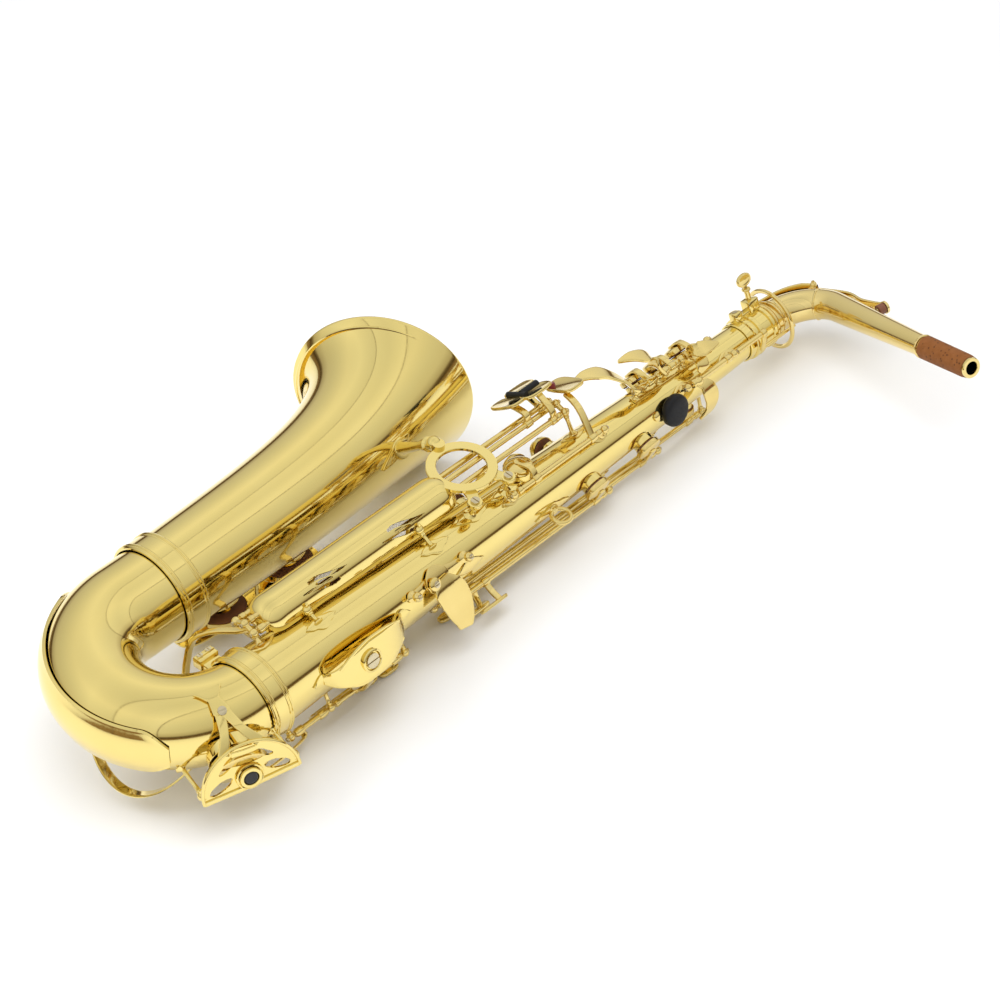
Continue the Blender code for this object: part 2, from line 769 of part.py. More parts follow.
def make_g_sharp_rail():
    solids = [pivot_rod("g_sharp", *G_SHARP_POSTS)]
    for x in G_SHARP_POSTS:
        solids += [rail_bar(x - 6, x + 6, HINGE_LINES["g_sharp"][0])] + post("g_sharp", x)
    make("g_sharp_rail", brass(), solids)


def make_side_key_rail():
    """The three side keys' posts; their lower feet share one saddle on the tube."""
    solids = []
    for line, places in SIDE_POSTS.items():
        phi = HINGE_LINES[line][0]
        for x in places:
            solids += [rail_bar(x - 6, x + 6, phi)] + post(line, x)
        solids.append(pivot_rod(line, *places))
    for phi in (233.0, 247.0):
        solids.append(bar(on_body(166, phi, GAP + 1.1), on_body(180, phi, GAP + 1.1), 9.0, 1.4, outward(phi)))
    make("side_key_rail", brass(), solids)


def make_table_rail():
    """Two cross bars on turned legs carry the three long rods of the little-finger keys."""
    solids = []
    for x in TABLE_POSTS:
        left, middle, right = (hinge_point(line, x) for line in TABLE_LINES)
        foot = on_body(x, 74.0, GAP + 0.8)
        solids.append(bar(on_body(x - 6, 74.0, GAP + 1.0), on_body(x + 6, 74.0, GAP + 1.0), 7.0, 1.4, outward(74)))
        solids.append(solid_rod(foot, left, 3.0, end_radius=2.2))
        for start, end in ((left, middle), (middle, right)):
            solids.append(solid_rod(start, end, 2.0))
        solids += [ball(place, POST_BALL) for place in (left, middle, right)]
    for line in TABLE_LINES:
        solids.append(pivot_rod(line, *TABLE_POSTS))
    make("table_rail", brass(), solids)


# ---------------------------------------------------------------- keys

TUBE_BORE = 1.3
PAD_LIFT = 0.5  # clearance of a closed pad over its tone hole
SEPARATE_PADS = ("g_sharp", "side_bb", "side_c", "low_c")


def pad_base(name):
    """(centre of a closed pad's underside, outward direction, pad radius)."""
    centre, direction = hole_axis(name)
    return centre + direction * (CHIMNEY + PAD_LIFT), direction, hole_radius(name) + PAD_OVERLAP


def pad_solid(name):
    centre, direction, radius = pad_base(name)
    return turned([(radius, 0), (radius, PAD_THICKNESS)], centre, direction, 14)


def cup_solid(name):
    """A key cup; where the pad isn't a part of its own, its thickness is part of the cup."""
    centre, direction, radius = pad_base(name)
    low = PAD_THICKNESS + GAP
    base = low if name in SEPARATE_PADS else 0.0
    edge = radius + 0.8
    profile = [(edge, base), (edge, low + 1.0), (edge * 0.7, low + 2.2), (edge * 0.3, low + 2.8)]
    return turned(profile, centre, direction, 14)


def linked(points, width, thickness, across):
    """A flat strap swept through several points and bent at each; across lies in its broad face."""
    bm = bmesh.new()
    rings = []
    for i, point in enumerate(points):
        before = (point - points[i - 1]).normalized() if i else None
        after = (points[i + 1] - point).normalized() if i + 1 < len(points) else None
        direction = ((before or after) + (after or before)).normalized()
        side = (across - direction * across.dot(direction)).normalized()
        normal = direction.cross(side) / max(direction.dot(before or after), 0.6)
        at = point
        if before is None or after is None:
            at = point + direction * width * (0.2 if after is None else -0.2)
        corners = ((1, 1), (-1, 1), (-1, -1), (1, -1))
        rings.append([bm.verts.new(at + side * width / 2 * u + normal * thickness / 2 * v) for u, v in corners])
    for first, second in zip(rings, rings[1:]):
        stitch(bm, first, second)
    bm.faces.new(reversed(rings[0]))
    bm.faces.new(rings[-1])
    bmesh.ops.recalc_face_normals(bm, faces=bm.faces)
    return [bm]


def cup_arm(name, line, x_arm, rise=0.0):
    """From the hinge out to the cup's edge and over its back; rise carries it clear of a post."""
    centre, direction, radius = pad_base(name)
    top = centre + direction * (PAD_THICKNESS + GAP + 2.4)
    hinge = hinge_point(line, x_arm)
    towards = hinge - top
    towards -= direction * towards.dot(direction)
    across = direction.cross(towards.normalized())
    elbow = top + towards.normalized() * min(radius + 2.6, towards.length - 1.0)
    knee = hinge + outward(HINGE_LINES[line][0]) * rise
    return linked([top, elbow, knee] + ([hinge] if rise else []), ARM_WIDTH, ARM_THICKNESS, across)


def bell_arm(name, line, x_arm):
    """From the little-finger tubes through the gap beside the bell to a cup on its right side."""
    centre, direction, _ = pad_base(name)
    top = centre + direction * (PAD_THICKNESS + GAP + 2.4)
    gap_y = BOW_SPACING / 2
    hinge = hinge_point(line, x_arm)
    under_guard = Vector((x_arm, BODY_FOOT_RADIUS + 2.5, 19.5))
    low = Vector(((x_arm + centre.x) / 2, gap_y, 8.0))
    route = [hinge, under_guard, low, Vector((centre.x, gap_y, top.z)), top]
    return linked(route, ARM_WIDTH, ARM_THICKNESS + 0.8, Vector((1, 0, 0)))


def opening(name, line, x_arm):
    """+1 if turning about +x lifts the cup off its tone hole."""
    centre, direction, _ = pad_base(name)
    arm = centre - hinge_point(line, x_arm)
    return 1.0 if Vector((1, 0, 0)).cross(arm).dot(direction) > 0 else -1.0


# name: hinge line, the tube's two ends, the cup's hole, where its arm stands, and how far it stands open
KEYS = {
    "key_d": {"line": "lower_stack", "span": (73.6, 102.4), "hole": "key_d", "arm": 88.0, "open": 9.0},
    "key_e": {"line": "lower_stack", "span": (109.6, 139.4), "hole": "key_e", "arm": 126.0, "open": 9.0},
    "key_f": {"line": "lower_stack", "span": (146.6, 174.4), "hole": "key_f", "arm": 162.0, "open": 9.0},
    "key_fsharp": {"line": "lower_stack", "span": (181.6, 200.9), "hole": "key_fsharp", "arm": 194.0, "open": 9.0},
    "key_g": {"line": "upper_stack", "span": (216.6, 237.4), "hole": "key_g", "arm": 226.0, "open": 9.0},
    "key_a": {"line": "upper_stack", "span": (244.6, 267.4), "hole": "key_a", "arm": 258.0, "open": 9.0},
    "key_b": {"line": "upper_stack", "span": (274.6, 294.4), "hole": "key_b", "arm": 286.0, "open": 9.0},
    "key_c": {"line": "upper_stack", "span": (301.6, 320.4), "hole": "key_c", "arm": 312.0, "open": 9.0},
    "side_bb_key": {"line": "side_bb", "span": (181.6, 322.4), "hole": "side_bb", "arm": 312.0, "open": 0.0},
    "side_c_key": {"line": "side_c", "span": (175.6, 380.4), "hole": "side_c", "arm": 367.0, "open": 0.0},
    "high_e_key": {"line": "high_e", "span": (169.6, 436.4), "hole": "high_e", "arm": 425.0, "open": 0.0},
    "g_sharp_key": {"line": "g_sharp", "span": (243.6, 326.4), "hole": "g_sharp", "arm": 262.0, "open": 0.0},
    "palm_d_key": {"line": "palm", "span": (379.6, 396.4), "hole": "palm_d", "arm": 391.0, "open": 0.0},
    "palm_eb_key": {"line": "palm", "span": (403.6, 420.4), "hole": "palm_eb", "arm": 414.0, "open": 0.0},
    "palm_f_key": {"line": "palm", "span": (427.6, 448.4), "hole": "palm_f", "arm": 438.0, "open": 0.0},
    "low_eb_key": {"line": "low_keys", "span": (63.6, 124.4), "hole": "low_eb", "arm": 84.0, "open": 0.0},
    "low_c_key": {"line": "low_keys", "span": (27.6, 56.4), "hole": "low_c", "arm": 32.0, "rise": 7.0, "open": 8.0},
    "low_csharp_key": {"line": "table_csharp", "span": (30.6, 314.4), "hole": "low_csharp", "arm": 34.0, "open": 0.0},
    "low_b_key": {"line": "table_b", "span": (30.6, 314.4), "hole": "low_b", "arm": None, "open": 4.0},
    "low_bb_key": {"line": "table_bb", "span": (30.6, 314.4), "hole": "low_bb", "arm": None, "open": 4.0},
}
LONG_TUBES = ("side_bb", "side_c", "high_e", "g_sharp", "table_csharp", "table_b", "table_bb")


SIDE_TOUCH_HEIGHT = 21.5
LOW_TOUCH_HEIGHT = 20.0


def side_touch(line, x, phi, length):
    """A right-hand side key's plate, on a stem from its tube."""
    centre = on_body(x, phi, SIDE_TOUCH_HEIGHT)
    touch = plate(rounded_outline(length, 8.0), TOUCH_THICKNESS, centre, outward(phi), Vector((1, 0, 0)))
    root = hinge_point(line, x + 6)
    stem = bar(root, centre + Vector((6, 0, 0)) + outward(phi), 4.0, 2.2, Vector((1, 0, 0)))
    return [touch, stem]


def table_touch(line, x, y, z, length, width):
    """A little-finger plate standing over its tube."""
    centre = Vector((x, y, z))
    normal = outward(46)
    touch = plate(rounded_outline(length, width), TOUCH_THICKNESS, centre, normal, Vector((1, 0, 0)))
    root = hinge_point(line, x)
    knee = [root + Vector((0, 2.0, 7.5))] if z > root.z + 6 else []
    route = [root] + knee + [centre + normal]
    return [touch] + linked(route, 5.0, 2.4, Vector((1, 0, 0)))


def palm_touch(x_arm, points, length, width, tilt):
    """A palm key's wide leaf on a bent stem."""
    root = hinge_point("palm", x_arm)
    route = [root, root + Vector((0, 5.0, 6.0))] + [Vector(place) for place in points]
    stem = linked(route, 5.0, 2.4, Vector((1, 0, 0)))
    leaf = plate(rounded_outline(length, width), TOUCH_THICKNESS, route[-1], outward(tilt), Vector((1, 0, 0)))
    return stem + [leaf]


def low_touch(x_arm, x_touch):
    """A right-hand little-finger plate, beside the low keys' tube."""
    root = hinge_point("low_keys", x_arm)
    elbow = on_body(20.0, 258.0, LOW_TOUCH_HEIGHT)
    elbow.x = x_arm
    reach = elbow.copy()
    reach.x = x_touch
    solids = linked([root, elbow], 5.0, 2.4, Vector((1, 0, 0)))
    if x_touch > x_arm:
        solids.append(solid_rod(elbow, reach, 1.6))
    solids.append(plate(rounded_outline(16.0, 12.0), TOUCH_THICKNESS, reach, outward(262), Vector((1, 0, 0))))
    return solids


def extra_solids(name):
    """What a key has besides its tube, arm and cup."""
    x_axis = Vector((1, 0, 0))
    if name == "side_bb_key":
        return side_touch("side_bb", 196.0, 220.0, 22.0)
    if name == "side_c_key":
        return side_touch("side_c", 190.0, 240.0, 24.0)
    if name == "high_e_key":
        return side_touch("high_e", 184.0, 260.0, 24.0)
    if name == "low_csharp_key":
        return table_touch("table_csharp", 300.0, 30.0, 44.0, 18.0, 10.0)
    if name == "low_b_key":
        return table_touch("table_b", 287.0, 41.0, 40.0, 9.0, 16.0)
    if name == "low_bb_key":
        return table_touch("table_bb", 303.0, 49.0, 30.0, 20.0, 9.0)
    if name == "g_sharp_key":
        knee = Vector((318.0, 16.0, 44.0))
        return linked([hinge_point("g_sharp", 318.0), Vector((318.0, 2.0, 42.0)), knee], 5.0, 2.4, x_axis) + [
            plate(rounded_outline(14.0, 22.0), TOUCH_THICKNESS, knee + Vector((2, 1.7, -1.4)), outward(60), x_axis)
        ]
    if name == "palm_d_key":
        return palm_touch(383.0, [(372.0, 12.0, 35.0), (356.0, 27.0, 37.0)], 24.0, 12.0, 62.0)
    if name == "palm_eb_key":
        return palm_touch(407.0, [(398.0, 8.0, 38.0), (386.0, 16.0, 42.0)], 24.0, 12.0, 72.0)
    if name == "palm_f_key":
        return palm_touch(431.0, [(424.0, 1.0, 33.0), (420.0, -8.0, 33.0)], 20.0, 10.0, 118.0)
    if name == "low_eb_key":
        return low_touch(118.0, 118.0)
    if name == "low_c_key":
        return low_touch(52.0, 100.0)
    return []


def make_octave_thumb_lever():
    """The crescent round the thumb rest, on a tube that runs up the back."""
    x_axis = Vector((1, 0, 0))
    tube = solid_rod(hinge_point("octave", 415.6), hinge_point("octave", 458.4), HINGE_RADIUS)
    route = [hinge_point("octave", 421.0)]
    for phi, height in ((152.0, 10.5), (168.0, 11.0), (186.0, 11.0), (204.0, 10.0)):
        route.append(on_body(421.0, phi, height))
    return make("octave_thumb_lever", brass(), [tube] + linked(route, 9.0, 2.2, x_axis))


def make_octave_ring_lever():
    """The pin that pushes the neck key's loop outwards."""
    x_axis = Vector((1, 0, 0))
    tube = solid_rod(hinge_point("octave", 465.6), hinge_point("octave", 496.0), HINGE_RADIUS)
    pin_foot = on_axis(494.0, PIN_PHI, PIN_RADIUS)
    arm = bar(hinge_point("octave", 494.0), pin_foot, 4.0, 2.4, x_axis)
    pin = solid_rod(pin_foot - x_axis * 1.5, on_axis(NECK_X + 11, PIN_PHI, PIN_RADIUS), 1.2)
    return make("octave_ring_lever", brass(), [tube, arm, pin])


PIN_PHI = 176.0
PIN_RADIUS = 18.2


def make_key(name):
    key = KEYS[name]
    line, hole = key["line"], key["hole"]
    centre, _, _ = pad_base(hole)
    arm = key["arm"] or centre.x
    solids = [cup_solid(hole)]
    if line in TABLE_LINES:
        solids += bell_arm(hole, line, arm)
    else:
        solids += cup_arm(hole, line, arm, key.get("rise", 0.0))
    first, last = key["span"]
    solids.append(solid_rod(hinge_point(line, first), hinge_point(line, last), HINGE_RADIUS))
    cuts = []
    if line in LONG_TUBES:
        cuts.append(solid_rod(hinge_point(line, first - 2), hinge_point(line, last + 2), TUBE_BORE, 6))
    solids += extra_solids(name)
    made = [make(name, brass(), solids, cuts)]
    if hole in SEPARATE_PADS:
        made.append(finish_bm(hole + "_pad", leather(), pad_solid(hole)))
    swing = math.radians(key["open"] * opening(hole, line, arm))
    pivot = hinge_point(line, 0)
    lift = Matrix.Translation(pivot) @ Matrix.Rotation(swing, 4, "X") @ Matrix.Translation(-pivot)
    for obj in made:
        obj.data.transform(lift)
    return made


# ---------------------------------------------------------------- guards, brace and holders

GUARD_X = (48.0, 205.0)
GUARD_CENTRE = (21.0, 28.0)
GUARD_RADIUS = 15.5
GUARD_WALL = 1.2


def make_stack_guard():
    """The long capsule over the little-finger rods: a half-round trough with domed ends."""
    y, z = GUARD_CENTRE
    start, end = Vector((GUARD_X[0] + GUARD_RADIUS, y, z)), Vector((GUARD_X[1] - GUARD_RADIUS, y, z))

    def capsule(radius, reach):
        bm = ball(start, radius, 20)
        turn = basis(Vector((1, 0, 0)), Vector((0, 0, 1)))
        tube = shell([(start, turn, radius), (end, turn, radius)], 20, closed_section=False)
        return [bm, tube, ball(end, radius, 20)]

    outside = make("capsule", brass(), capsule(GUARD_RADIUS, 0))
    below = bar(start - Vector((40, 0, 22)), end + Vector((40, 0, -22)), 60.0, 40.0, Vector((0, 0, 1)))
    inside = capsule(GUARD_RADIUS - GUARD_WALL, 1)
    slots = []
    for x in (88.0, 150.0):
        slots.append(bar(Vector((x - 12, y - 16, z + 6)), Vector((x + 12, y - 16, z + 6)), 5.0, 12.0, Vector((0, 1, 0))))
    bm = bmesh.new()
    bm.from_mesh(outside.data)
    bpy.data.objects.remove(outside, do_unlink=True)
    legs, feet = [], []
    rods = [solid_rod(hinge_point(line, 30), hinge_point(line, 240), 3.0) for line in TABLE_LINES]
    for x, phi in ((66.0, 100.0), (168.0, 106.0)):
        foot = on_body(x, phi, GAP + 1.0)
        knob = Vector((x, y - GUARD_RADIUS + 0.2, z + 3))
        legs.append(solid_rod(foot + outward(phi) * 0.5, knob, 1.8))
        legs.append(ball(knob, 3.4))
        feet.append(bar(on_body(x - 7, phi, GAP + 1.0), on_body(x + 9, phi, GAP + 1.0), 7.0, 1.4, outward(phi)))
    shell_part = make("stack_guard", brass(), [bm], inside + [below] + slots + rods)
    whole = bmesh.new()
    whole.from_mesh(shell_part.data)
    bpy.data.objects.remove(shell_part, do_unlink=True)
    return make("stack_guard", brass(), [whole] + legs + feet)


def flat_ring(centre, normal, along, outer, inner, thickness, sides=24):
    turn = basis(normal, along)
    half = normal.normalized() * thickness / 2
    path = [(centre - half, turn, outer), (centre + half, turn, outer), (centre + half, turn, inner), (centre - half, turn, inner)]
    return shell(path, sides)


def make_bell_brace():
    """The flat ring between body and bell, on two posts and one foot."""
    centre = Vector((225.0, 23.0, 42.5))
    body_posts = [Vector((243.0, -8.0, 38.0)), Vector((209.0, -9.0, 38.5))]
    bell_end = Vector((229.0, 58.0, 27.0))
    normal = (body_posts[0] - centre).cross(body_posts[1] - centre).normalized()
    normal = normal if normal.z > 0 else -normal
    along = Vector((1, 0, 0))
    solids = [flat_ring(centre, normal, along, 24.0, 17.0, 2.4)]
    for head in body_posts:
        towards = (head - centre).normalized()
        solids.append(bar(centre + towards * 18.5, head + towards * 4, 9.0, 3.0, normal))
        base = on_body(head.x, 97.0, GAP + 1.2)
        solids.append(solid_rod(base, head + Vector((0, 0, 2.5)), 3.2))
        solids.append(bar(base - Vector((8, 0, 0)), base + Vector((8, 0, 0)), 8.0, 1.6, outward(97)))
    towards = bell_end - centre
    towards = (towards - normal * towards.dot(normal)).normalized()
    solids.append(bar(centre + towards * 18.5, bell_end, 8.0, 3.0, normal))
    solids.append(ball(bell_end, 4.2, 10))
    share = BRACE_SHARE
    station, direction, radius = bell_station(share)
    aim = bell_end - station
    foot_out = (aim - direction * aim.dot(direction)).normalized()
    foot = station + foot_out * (radius + GAP + 2.2)
    solids.append(solid_rod(foot, bell_end, 3.4, end_radius=2.4))
    tangent = BRACE_FOOT_SLOPE * foot_out + direction
    solids.append(bar(foot - tangent * 9, foot + tangent * 5, 9.0, 2.0, direction.cross(foot_out).cross(tangent)))
    return make("bell_brace", brass(), solids)


BRACE_SHARE = 0.76
BRACE_FOOT_SLOPE = 0.22  # the bell widens this much along its foot


def make_strap_ring():
    x, phi = 269.0, 186.0
    foot = on_body(x, phi, GAP + 0.8)
    out = outward(phi)
    base = bar(foot - Vector((13, 0, 0)), foot + Vector((13, 0, 0)), 8.0, 1.4, out)
    ring = []
    for i in range(16):
        angle = 2 * math.pi * i / 16
        centre = foot + out * 7.5 + Vector((6.6 * math.cos(angle), 0, 0)) + out * 6.6 * math.sin(angle)
        tangent = Vector((-math.sin(angle), 0, 0)) + out * math.cos(angle)
        ring.append((centre, basis(tangent, out.cross(Vector((1, 0, 0)))), 1.7))
    return make("strap_ring", brass(), [base, shell(ring, 6)])


def make_thumb_rest():
    x, phi = 397.0, 166.0
    profile = [(9.0, 0), (11.0, 1.2), (11.5, 4.0), (10.4, 6.2), (7.0, 7.4)]
    return finish_bm("thumb_rest", black_plastic(), turned(profile, on_body(x, phi, GAP), outward(phi), 20))


def make_thumb_hook():
    """Two leaf plates on the tube and a hooked strap standing off them."""
    phi = 172.0
    side = Vector((1, 0, 0))
    base = bar(on_body(142, phi, GAP + 1.0), on_body(178, phi, GAP + 1.0), 13.0, 1.4, outward(phi))
    root = on_body(158, phi, GAP + 2.2)
    out = outward(phi)
    across = out.cross(side)
    strap = []
    for i in range(7):
        angle = math.radians(-20 + 150 * i / 6)
        strap.append(root + across * (16 * math.sin(angle) + 5.4) * -1 + out * (16 - 16 * math.cos(angle)))
    solids = [base] + linked(strap, 15.0, 2.2, side)
    return make("thumb_hook", brass(), solids)


def bow_frame(turn, around):
    """(centre on the surface, outward, along the bend) at a place on the bow."""
    out = bow_outward(turn, around)
    along = bow_centre(turn - 1) - bow_centre(turn + 1)
    return on_bow(turn, around), out, along.normalized()


LOW_C_GUARD_HEIGHT = 21.0


def make_low_c_guard():
    """A half-round face over the low C cup on three legs."""
    turn, around, radius = BOW_HOLES["low_c"]
    centre, out, along = bow_frame(turn, around)
    rim = radius + 11.0
    points = [(rim * math.cos(math.pi * i / 12), rim * math.sin(math.pi * i / 12)) for i in range(13)]
    points += [(-rim, -12.0), (rim, -12.0)]
    face = plate(points, 1.6, centre + out * LOW_C_GUARD_HEIGHT, out, along)
    side = out.cross(along)
    solids = [face, turned([(5.0, -1.0), (5.0, 4.0), (3.0, 5.0)], centre + out * LOW_C_GUARD_HEIGHT, out, 12)]
    for reach, offset in ((rim - 3, 2.0), (-(rim - 3), 2.0)):
        head = centre + out * (LOW_C_GUARD_HEIGHT + 0.8) + along * reach + side * offset
        foot = centre + along * (reach + 2) + side * (offset + 6) - out * 0.5
        solids.append(solid_rod(foot, head, 2.0))
    return make("low_c_guard", brass(), solids)


def make_low_eb_guard():
    """An arched strap over the low E-flat cup."""
    x, phi, _ = HOLES["low_eb"]
    route = [(-38, -24, 3.4), (-30, -16, 13.0), (0, -4, 19.0), (30, -16, 13.0), (38, -24, 3.4)]
    strap = [on_body(x + dx, phi + turn, height) for dx, turn, height in route]
    solids = linked(strap, 9.0, 1.8, outward(phi - 12).cross(Vector((1, 0, 0))))
    top = strap[2]
    solids.append(turned([(6.0, -1.2), (6.0, 2.6), (3.5, 3.4)], top, outward(phi - 4), 12))
    return make("low_eb_guard", brass(), solids)


def make_bell_key_guard():
    """A long plate over the low B and B-flat cups, on legs from the bell's right side."""
    y = BOW_SPACING + 3.0
    z = -58.0
    middle = 112.0
    face = plate(rounded_outline(128.0, 30.0), 1.6, Vector((middle, y, z)), Vector((0, 0, -1)), Vector((1, 0, 0)))
    solids = [face]
    for x, offset in ((56.0, 0.0), (middle - 1, 13.0), (middle - 1, -13.0), (168.0, 0.0)):
        station, _, radius = bell_station((x - BELL_JOINT_X) / (BELL_RIM_X - BELL_JOINT_X))
        lift = y + offset - station.y
        depth = math.sqrt((radius + GAP + 0.8) ** 2 - lift**2)
        solids.append(solid_rod(Vector((x, y + offset, -depth - 0.4)), Vector((x, y + offset, z)), 2.0))
    return make("bell_key_guard", brass(), solids)


def make_bow_loop_guard():
    """A strap that stands off the bow's right side and shields the low C-sharp cup."""
    strap = []
    for i in range(9):
        share = i / 8
        turn = 40.0 + 60.0 * share
        strap.append(on_bow(turn, 292.0, 2.8 + 20.0 * math.sin(math.pi * share)))
    return make("bow_loop_guard", brass(), linked(strap, 9.0, 1.6, bow_outward(70.0, 22.0)))


# ---------------------------------------------------------------- laying down


def mesh_points(obj):
    points = np.empty(len(obj.data.vertices) * 3)
    obj.data.vertices.foreach_get("co", points)
    return points.reshape(-1, 3)


def centre_of_mass(parts):
    """Volume-weighted centre of all the parts."""
    total, moment = 0.0, np.zeros(3)
    for obj in parts:
        points = mesh_points(obj)
        obj.data.calc_loop_triangles()
        for triangle in obj.data.loop_triangles:
            a, b, c = (points[i] for i in triangle.vertices)
            volume = float(np.dot(a, np.cross(b, c))) / 6
            total += volume
            moment += volume * (a + b + c) / 4
    return moment / total


def resting_turn(parts):
    """The turn that brings the instrument to rest on its right side: the lowest place for its weight."""
    points = np.concatenate([mesh_points(obj) for obj in parts])
    points -= centre_of_mass(parts)
    lean = np.zeros(2)
    step = 0.1

    def height(trial):
        down = np.array([trial[0], trial[1], -1.0])
        return (points @ (down / np.linalg.norm(down))).max()

    best = height(lean)
    while step > 1e-5:
        moves = [lean + step * np.array(way) for way in ((1, 0), (-1, 0), (0, 1), (0, -1), (1, 1), (-1, -1), (1, -1), (-1, 1))]
        heights = [height(move) for move in moves]
        if min(heights) < best - 1e-9:
            best = min(heights)
            lean = moves[heights.index(best)]
        else:
            step /= 2
    down = Vector((lean[0], lean[1], -1.0)).normalized()
    return down.rotation_difference(Vector((0, 0, -1))).to_matrix()


def pivots():
    """The place on its joint's axis where each moving piece has its origin."""
    places = {}
    for name, key in KEYS.items():
        places[name] = hinge_point(key["line"], sum(key["span"]) / 2)
    for hole in SEPARATE_PADS:
        places[hole + "_pad"] = places[KEY_OF_PAD[hole]]
    collar = Vector((NECK_X, 0, 0))
    places["neck_tube"] = places["neck_cork"] = collar
    places["neck_octave_key"] = places["neck_octave_pad"] = NECK_TURN_BACK @ neck_hinge()
    places["neck_screw"] = on_axis(SCREW_X, SCREW_PHI, RECEIVER_RADIUS)
    places["octave_thumb_lever"] = hinge_point("octave", 440.0)
    places["octave_ring_lever"] = hinge_point("octave", 480.0)
    return places


KEY_OF_PAD = {"g_sharp": "g_sharp_key", "side_bb": "side_bb_key", "side_c": "side_c_key", "low_c": "low_c_key"}


def lay_down():
    """Turns the instrument to where it rests, and sets its origin under the middle of its box, in metres."""
    parts = list(bpy.data.objects)
    turn = resting_turn(parts).to_4x4()
    points = np.concatenate([mesh_points(obj) for obj in parts]) @ np.array(turn.to_3x3()).T
    low, high = points.min(axis=0), points.max(axis=0)
    middle = (low + high) / 2
    shift = Matrix.Translation(Vector((-middle[0], -middle[1], -low[2])))
    rest = Matrix.Scale(MM, 4) @ shift @ turn
    places = pivots()
    for obj in parts:
        obj.data.transform(rest)
        if obj.name in places:
            origin = rest @ places[obj.name]
            obj.data.transform(Matrix.Translation(-origin))
            obj.location = origin
    return rest


def main():
    clear_scene()
    make_body_tube()
    make_bow()
    make_bell()
    make_body_bow_ring()
    make_bell_bow_ring()
    make_bow_guard_plate()
    make_receiver()
    make_neck_tube()
    make_cork()
    make_neck_octave_key()
    make_neck_octave_pad()
    make_neck_screw()
    make_short_rails()
    make_g_sharp_rail()
    make_side_key_rail()
    make_table_rail()
    for name in KEYS:
        make_key(name)
    make_stack_guard()
    make_bell_brace()
    make_strap_ring()
    make_thumb_rest()
    make_thumb_hook()
    make_low_c_guard()
    make_low_eb_guard()
    make_bell_key_guard()
    make_bow_loop_guard()
    make_octave_thumb_lever()
    make_octave_ring_lever()
    lay_down()


main()
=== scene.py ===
# Alto saxophone in gold lacquer, lying on its right side on a pale floor.
# Everything is laid out in the instrument's own axes, in millimetres: x up the body tube, y from the
# body to the bell, z to the player's left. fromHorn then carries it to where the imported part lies.
import json
import math

import bmesh
import bpy
from mathutils import Matrix, Vector


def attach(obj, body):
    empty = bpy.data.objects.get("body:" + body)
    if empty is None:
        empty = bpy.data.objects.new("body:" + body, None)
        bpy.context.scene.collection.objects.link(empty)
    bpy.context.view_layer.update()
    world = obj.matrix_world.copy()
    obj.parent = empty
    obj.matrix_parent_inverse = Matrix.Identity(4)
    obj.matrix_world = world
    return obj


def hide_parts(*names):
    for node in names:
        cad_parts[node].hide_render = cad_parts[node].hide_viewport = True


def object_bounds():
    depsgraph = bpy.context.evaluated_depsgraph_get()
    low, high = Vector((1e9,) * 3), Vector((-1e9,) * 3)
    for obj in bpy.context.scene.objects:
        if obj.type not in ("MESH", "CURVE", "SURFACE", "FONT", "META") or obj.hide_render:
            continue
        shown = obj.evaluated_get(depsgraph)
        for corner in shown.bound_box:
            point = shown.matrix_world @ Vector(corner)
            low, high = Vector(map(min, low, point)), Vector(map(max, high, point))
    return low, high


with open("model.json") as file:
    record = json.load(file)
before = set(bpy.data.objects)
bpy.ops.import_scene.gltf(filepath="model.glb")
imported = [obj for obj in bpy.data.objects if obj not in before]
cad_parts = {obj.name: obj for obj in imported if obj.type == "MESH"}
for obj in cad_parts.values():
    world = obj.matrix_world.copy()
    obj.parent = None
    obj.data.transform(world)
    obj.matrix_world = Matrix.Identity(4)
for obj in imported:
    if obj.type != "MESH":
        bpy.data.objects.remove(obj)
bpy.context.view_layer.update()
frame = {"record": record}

xAxis = Vector((1, 0, 0))
zAxis = Vector((0, 0, 1))
gap = 0.3
fineSides = 96  # round the large tubes
bellSides = 128
neckSides = 64
rodSides = 20

tube = {"length": 491.0, "footRadius": 28.5, "topRadius": 13.2, "wall": 0.8}
bend = {"spacing": 114.0, "rise": 4.0}
bell = {
    "jointX": 31.0, "footRadius": 33.5, "rimRadius": 64.0, "rimX": 279.0, "rimY": 148.0,
    "lean": 2.0, "rimLean": 32.0, "taper": 7.0, "flare": 6.0, "wire": 2.1,
}
neck = {
    "rise": 8.0, "bend": 30.0, "turn": 105.0, "run": 153.5, "footRadius": 12.2, "tipRadius": 5.9,
    "set": 18.0, "cork": 50.0, "corkRadius": 8.15, "saddle": 40.0, "pip": 93.0, "hinge": 17.0, "loop": 22.0,
}
receiver = {"length": 26.0, "radius": 15.4}
neckX = tube["length"] + receiver["length"] + 2.0
neckLength = neck["rise"] + neck["bend"] * math.radians(neck["turn"]) + neck["run"]
neckTurnBack = Matrix.Rotation(math.radians(-neck["set"]), 4, "X")
chimney = 3.0
padLift = 0.5
padThickness = 3.4


def findPlace():
    # the neck's swivel gives the tube's axis and a point on it, the octave hinge gives the roll
    joints = {joint["name"]: joint for joint in frame["record"]["behaviour"]["joints"]}
    along = Vector(joints["neck_swivel"]["axis"]).normalized()
    across = Vector(joints["neck_octave_hinge"]["axis"])
    across = (across - along * across.dot(along)).normalized()
    front = across.cross(along)
    back = math.radians(neck["set"])
    left = across * math.cos(back) - front * math.sin(back)
    toBell = across * math.sin(back) + front * math.cos(back)
    turn = Matrix((along, toBell, left)).transposed()
    origin = Vector(joints["neck_swivel"]["pos_m"]) - turn @ Vector((neckX, 0, 0)) * 0.001
    return Matrix.Translation(origin) @ turn.to_4x4() @ Matrix.Scale(0.001, 4)


fromHorn = findPlace()


# surfaces that the small pieces stand on

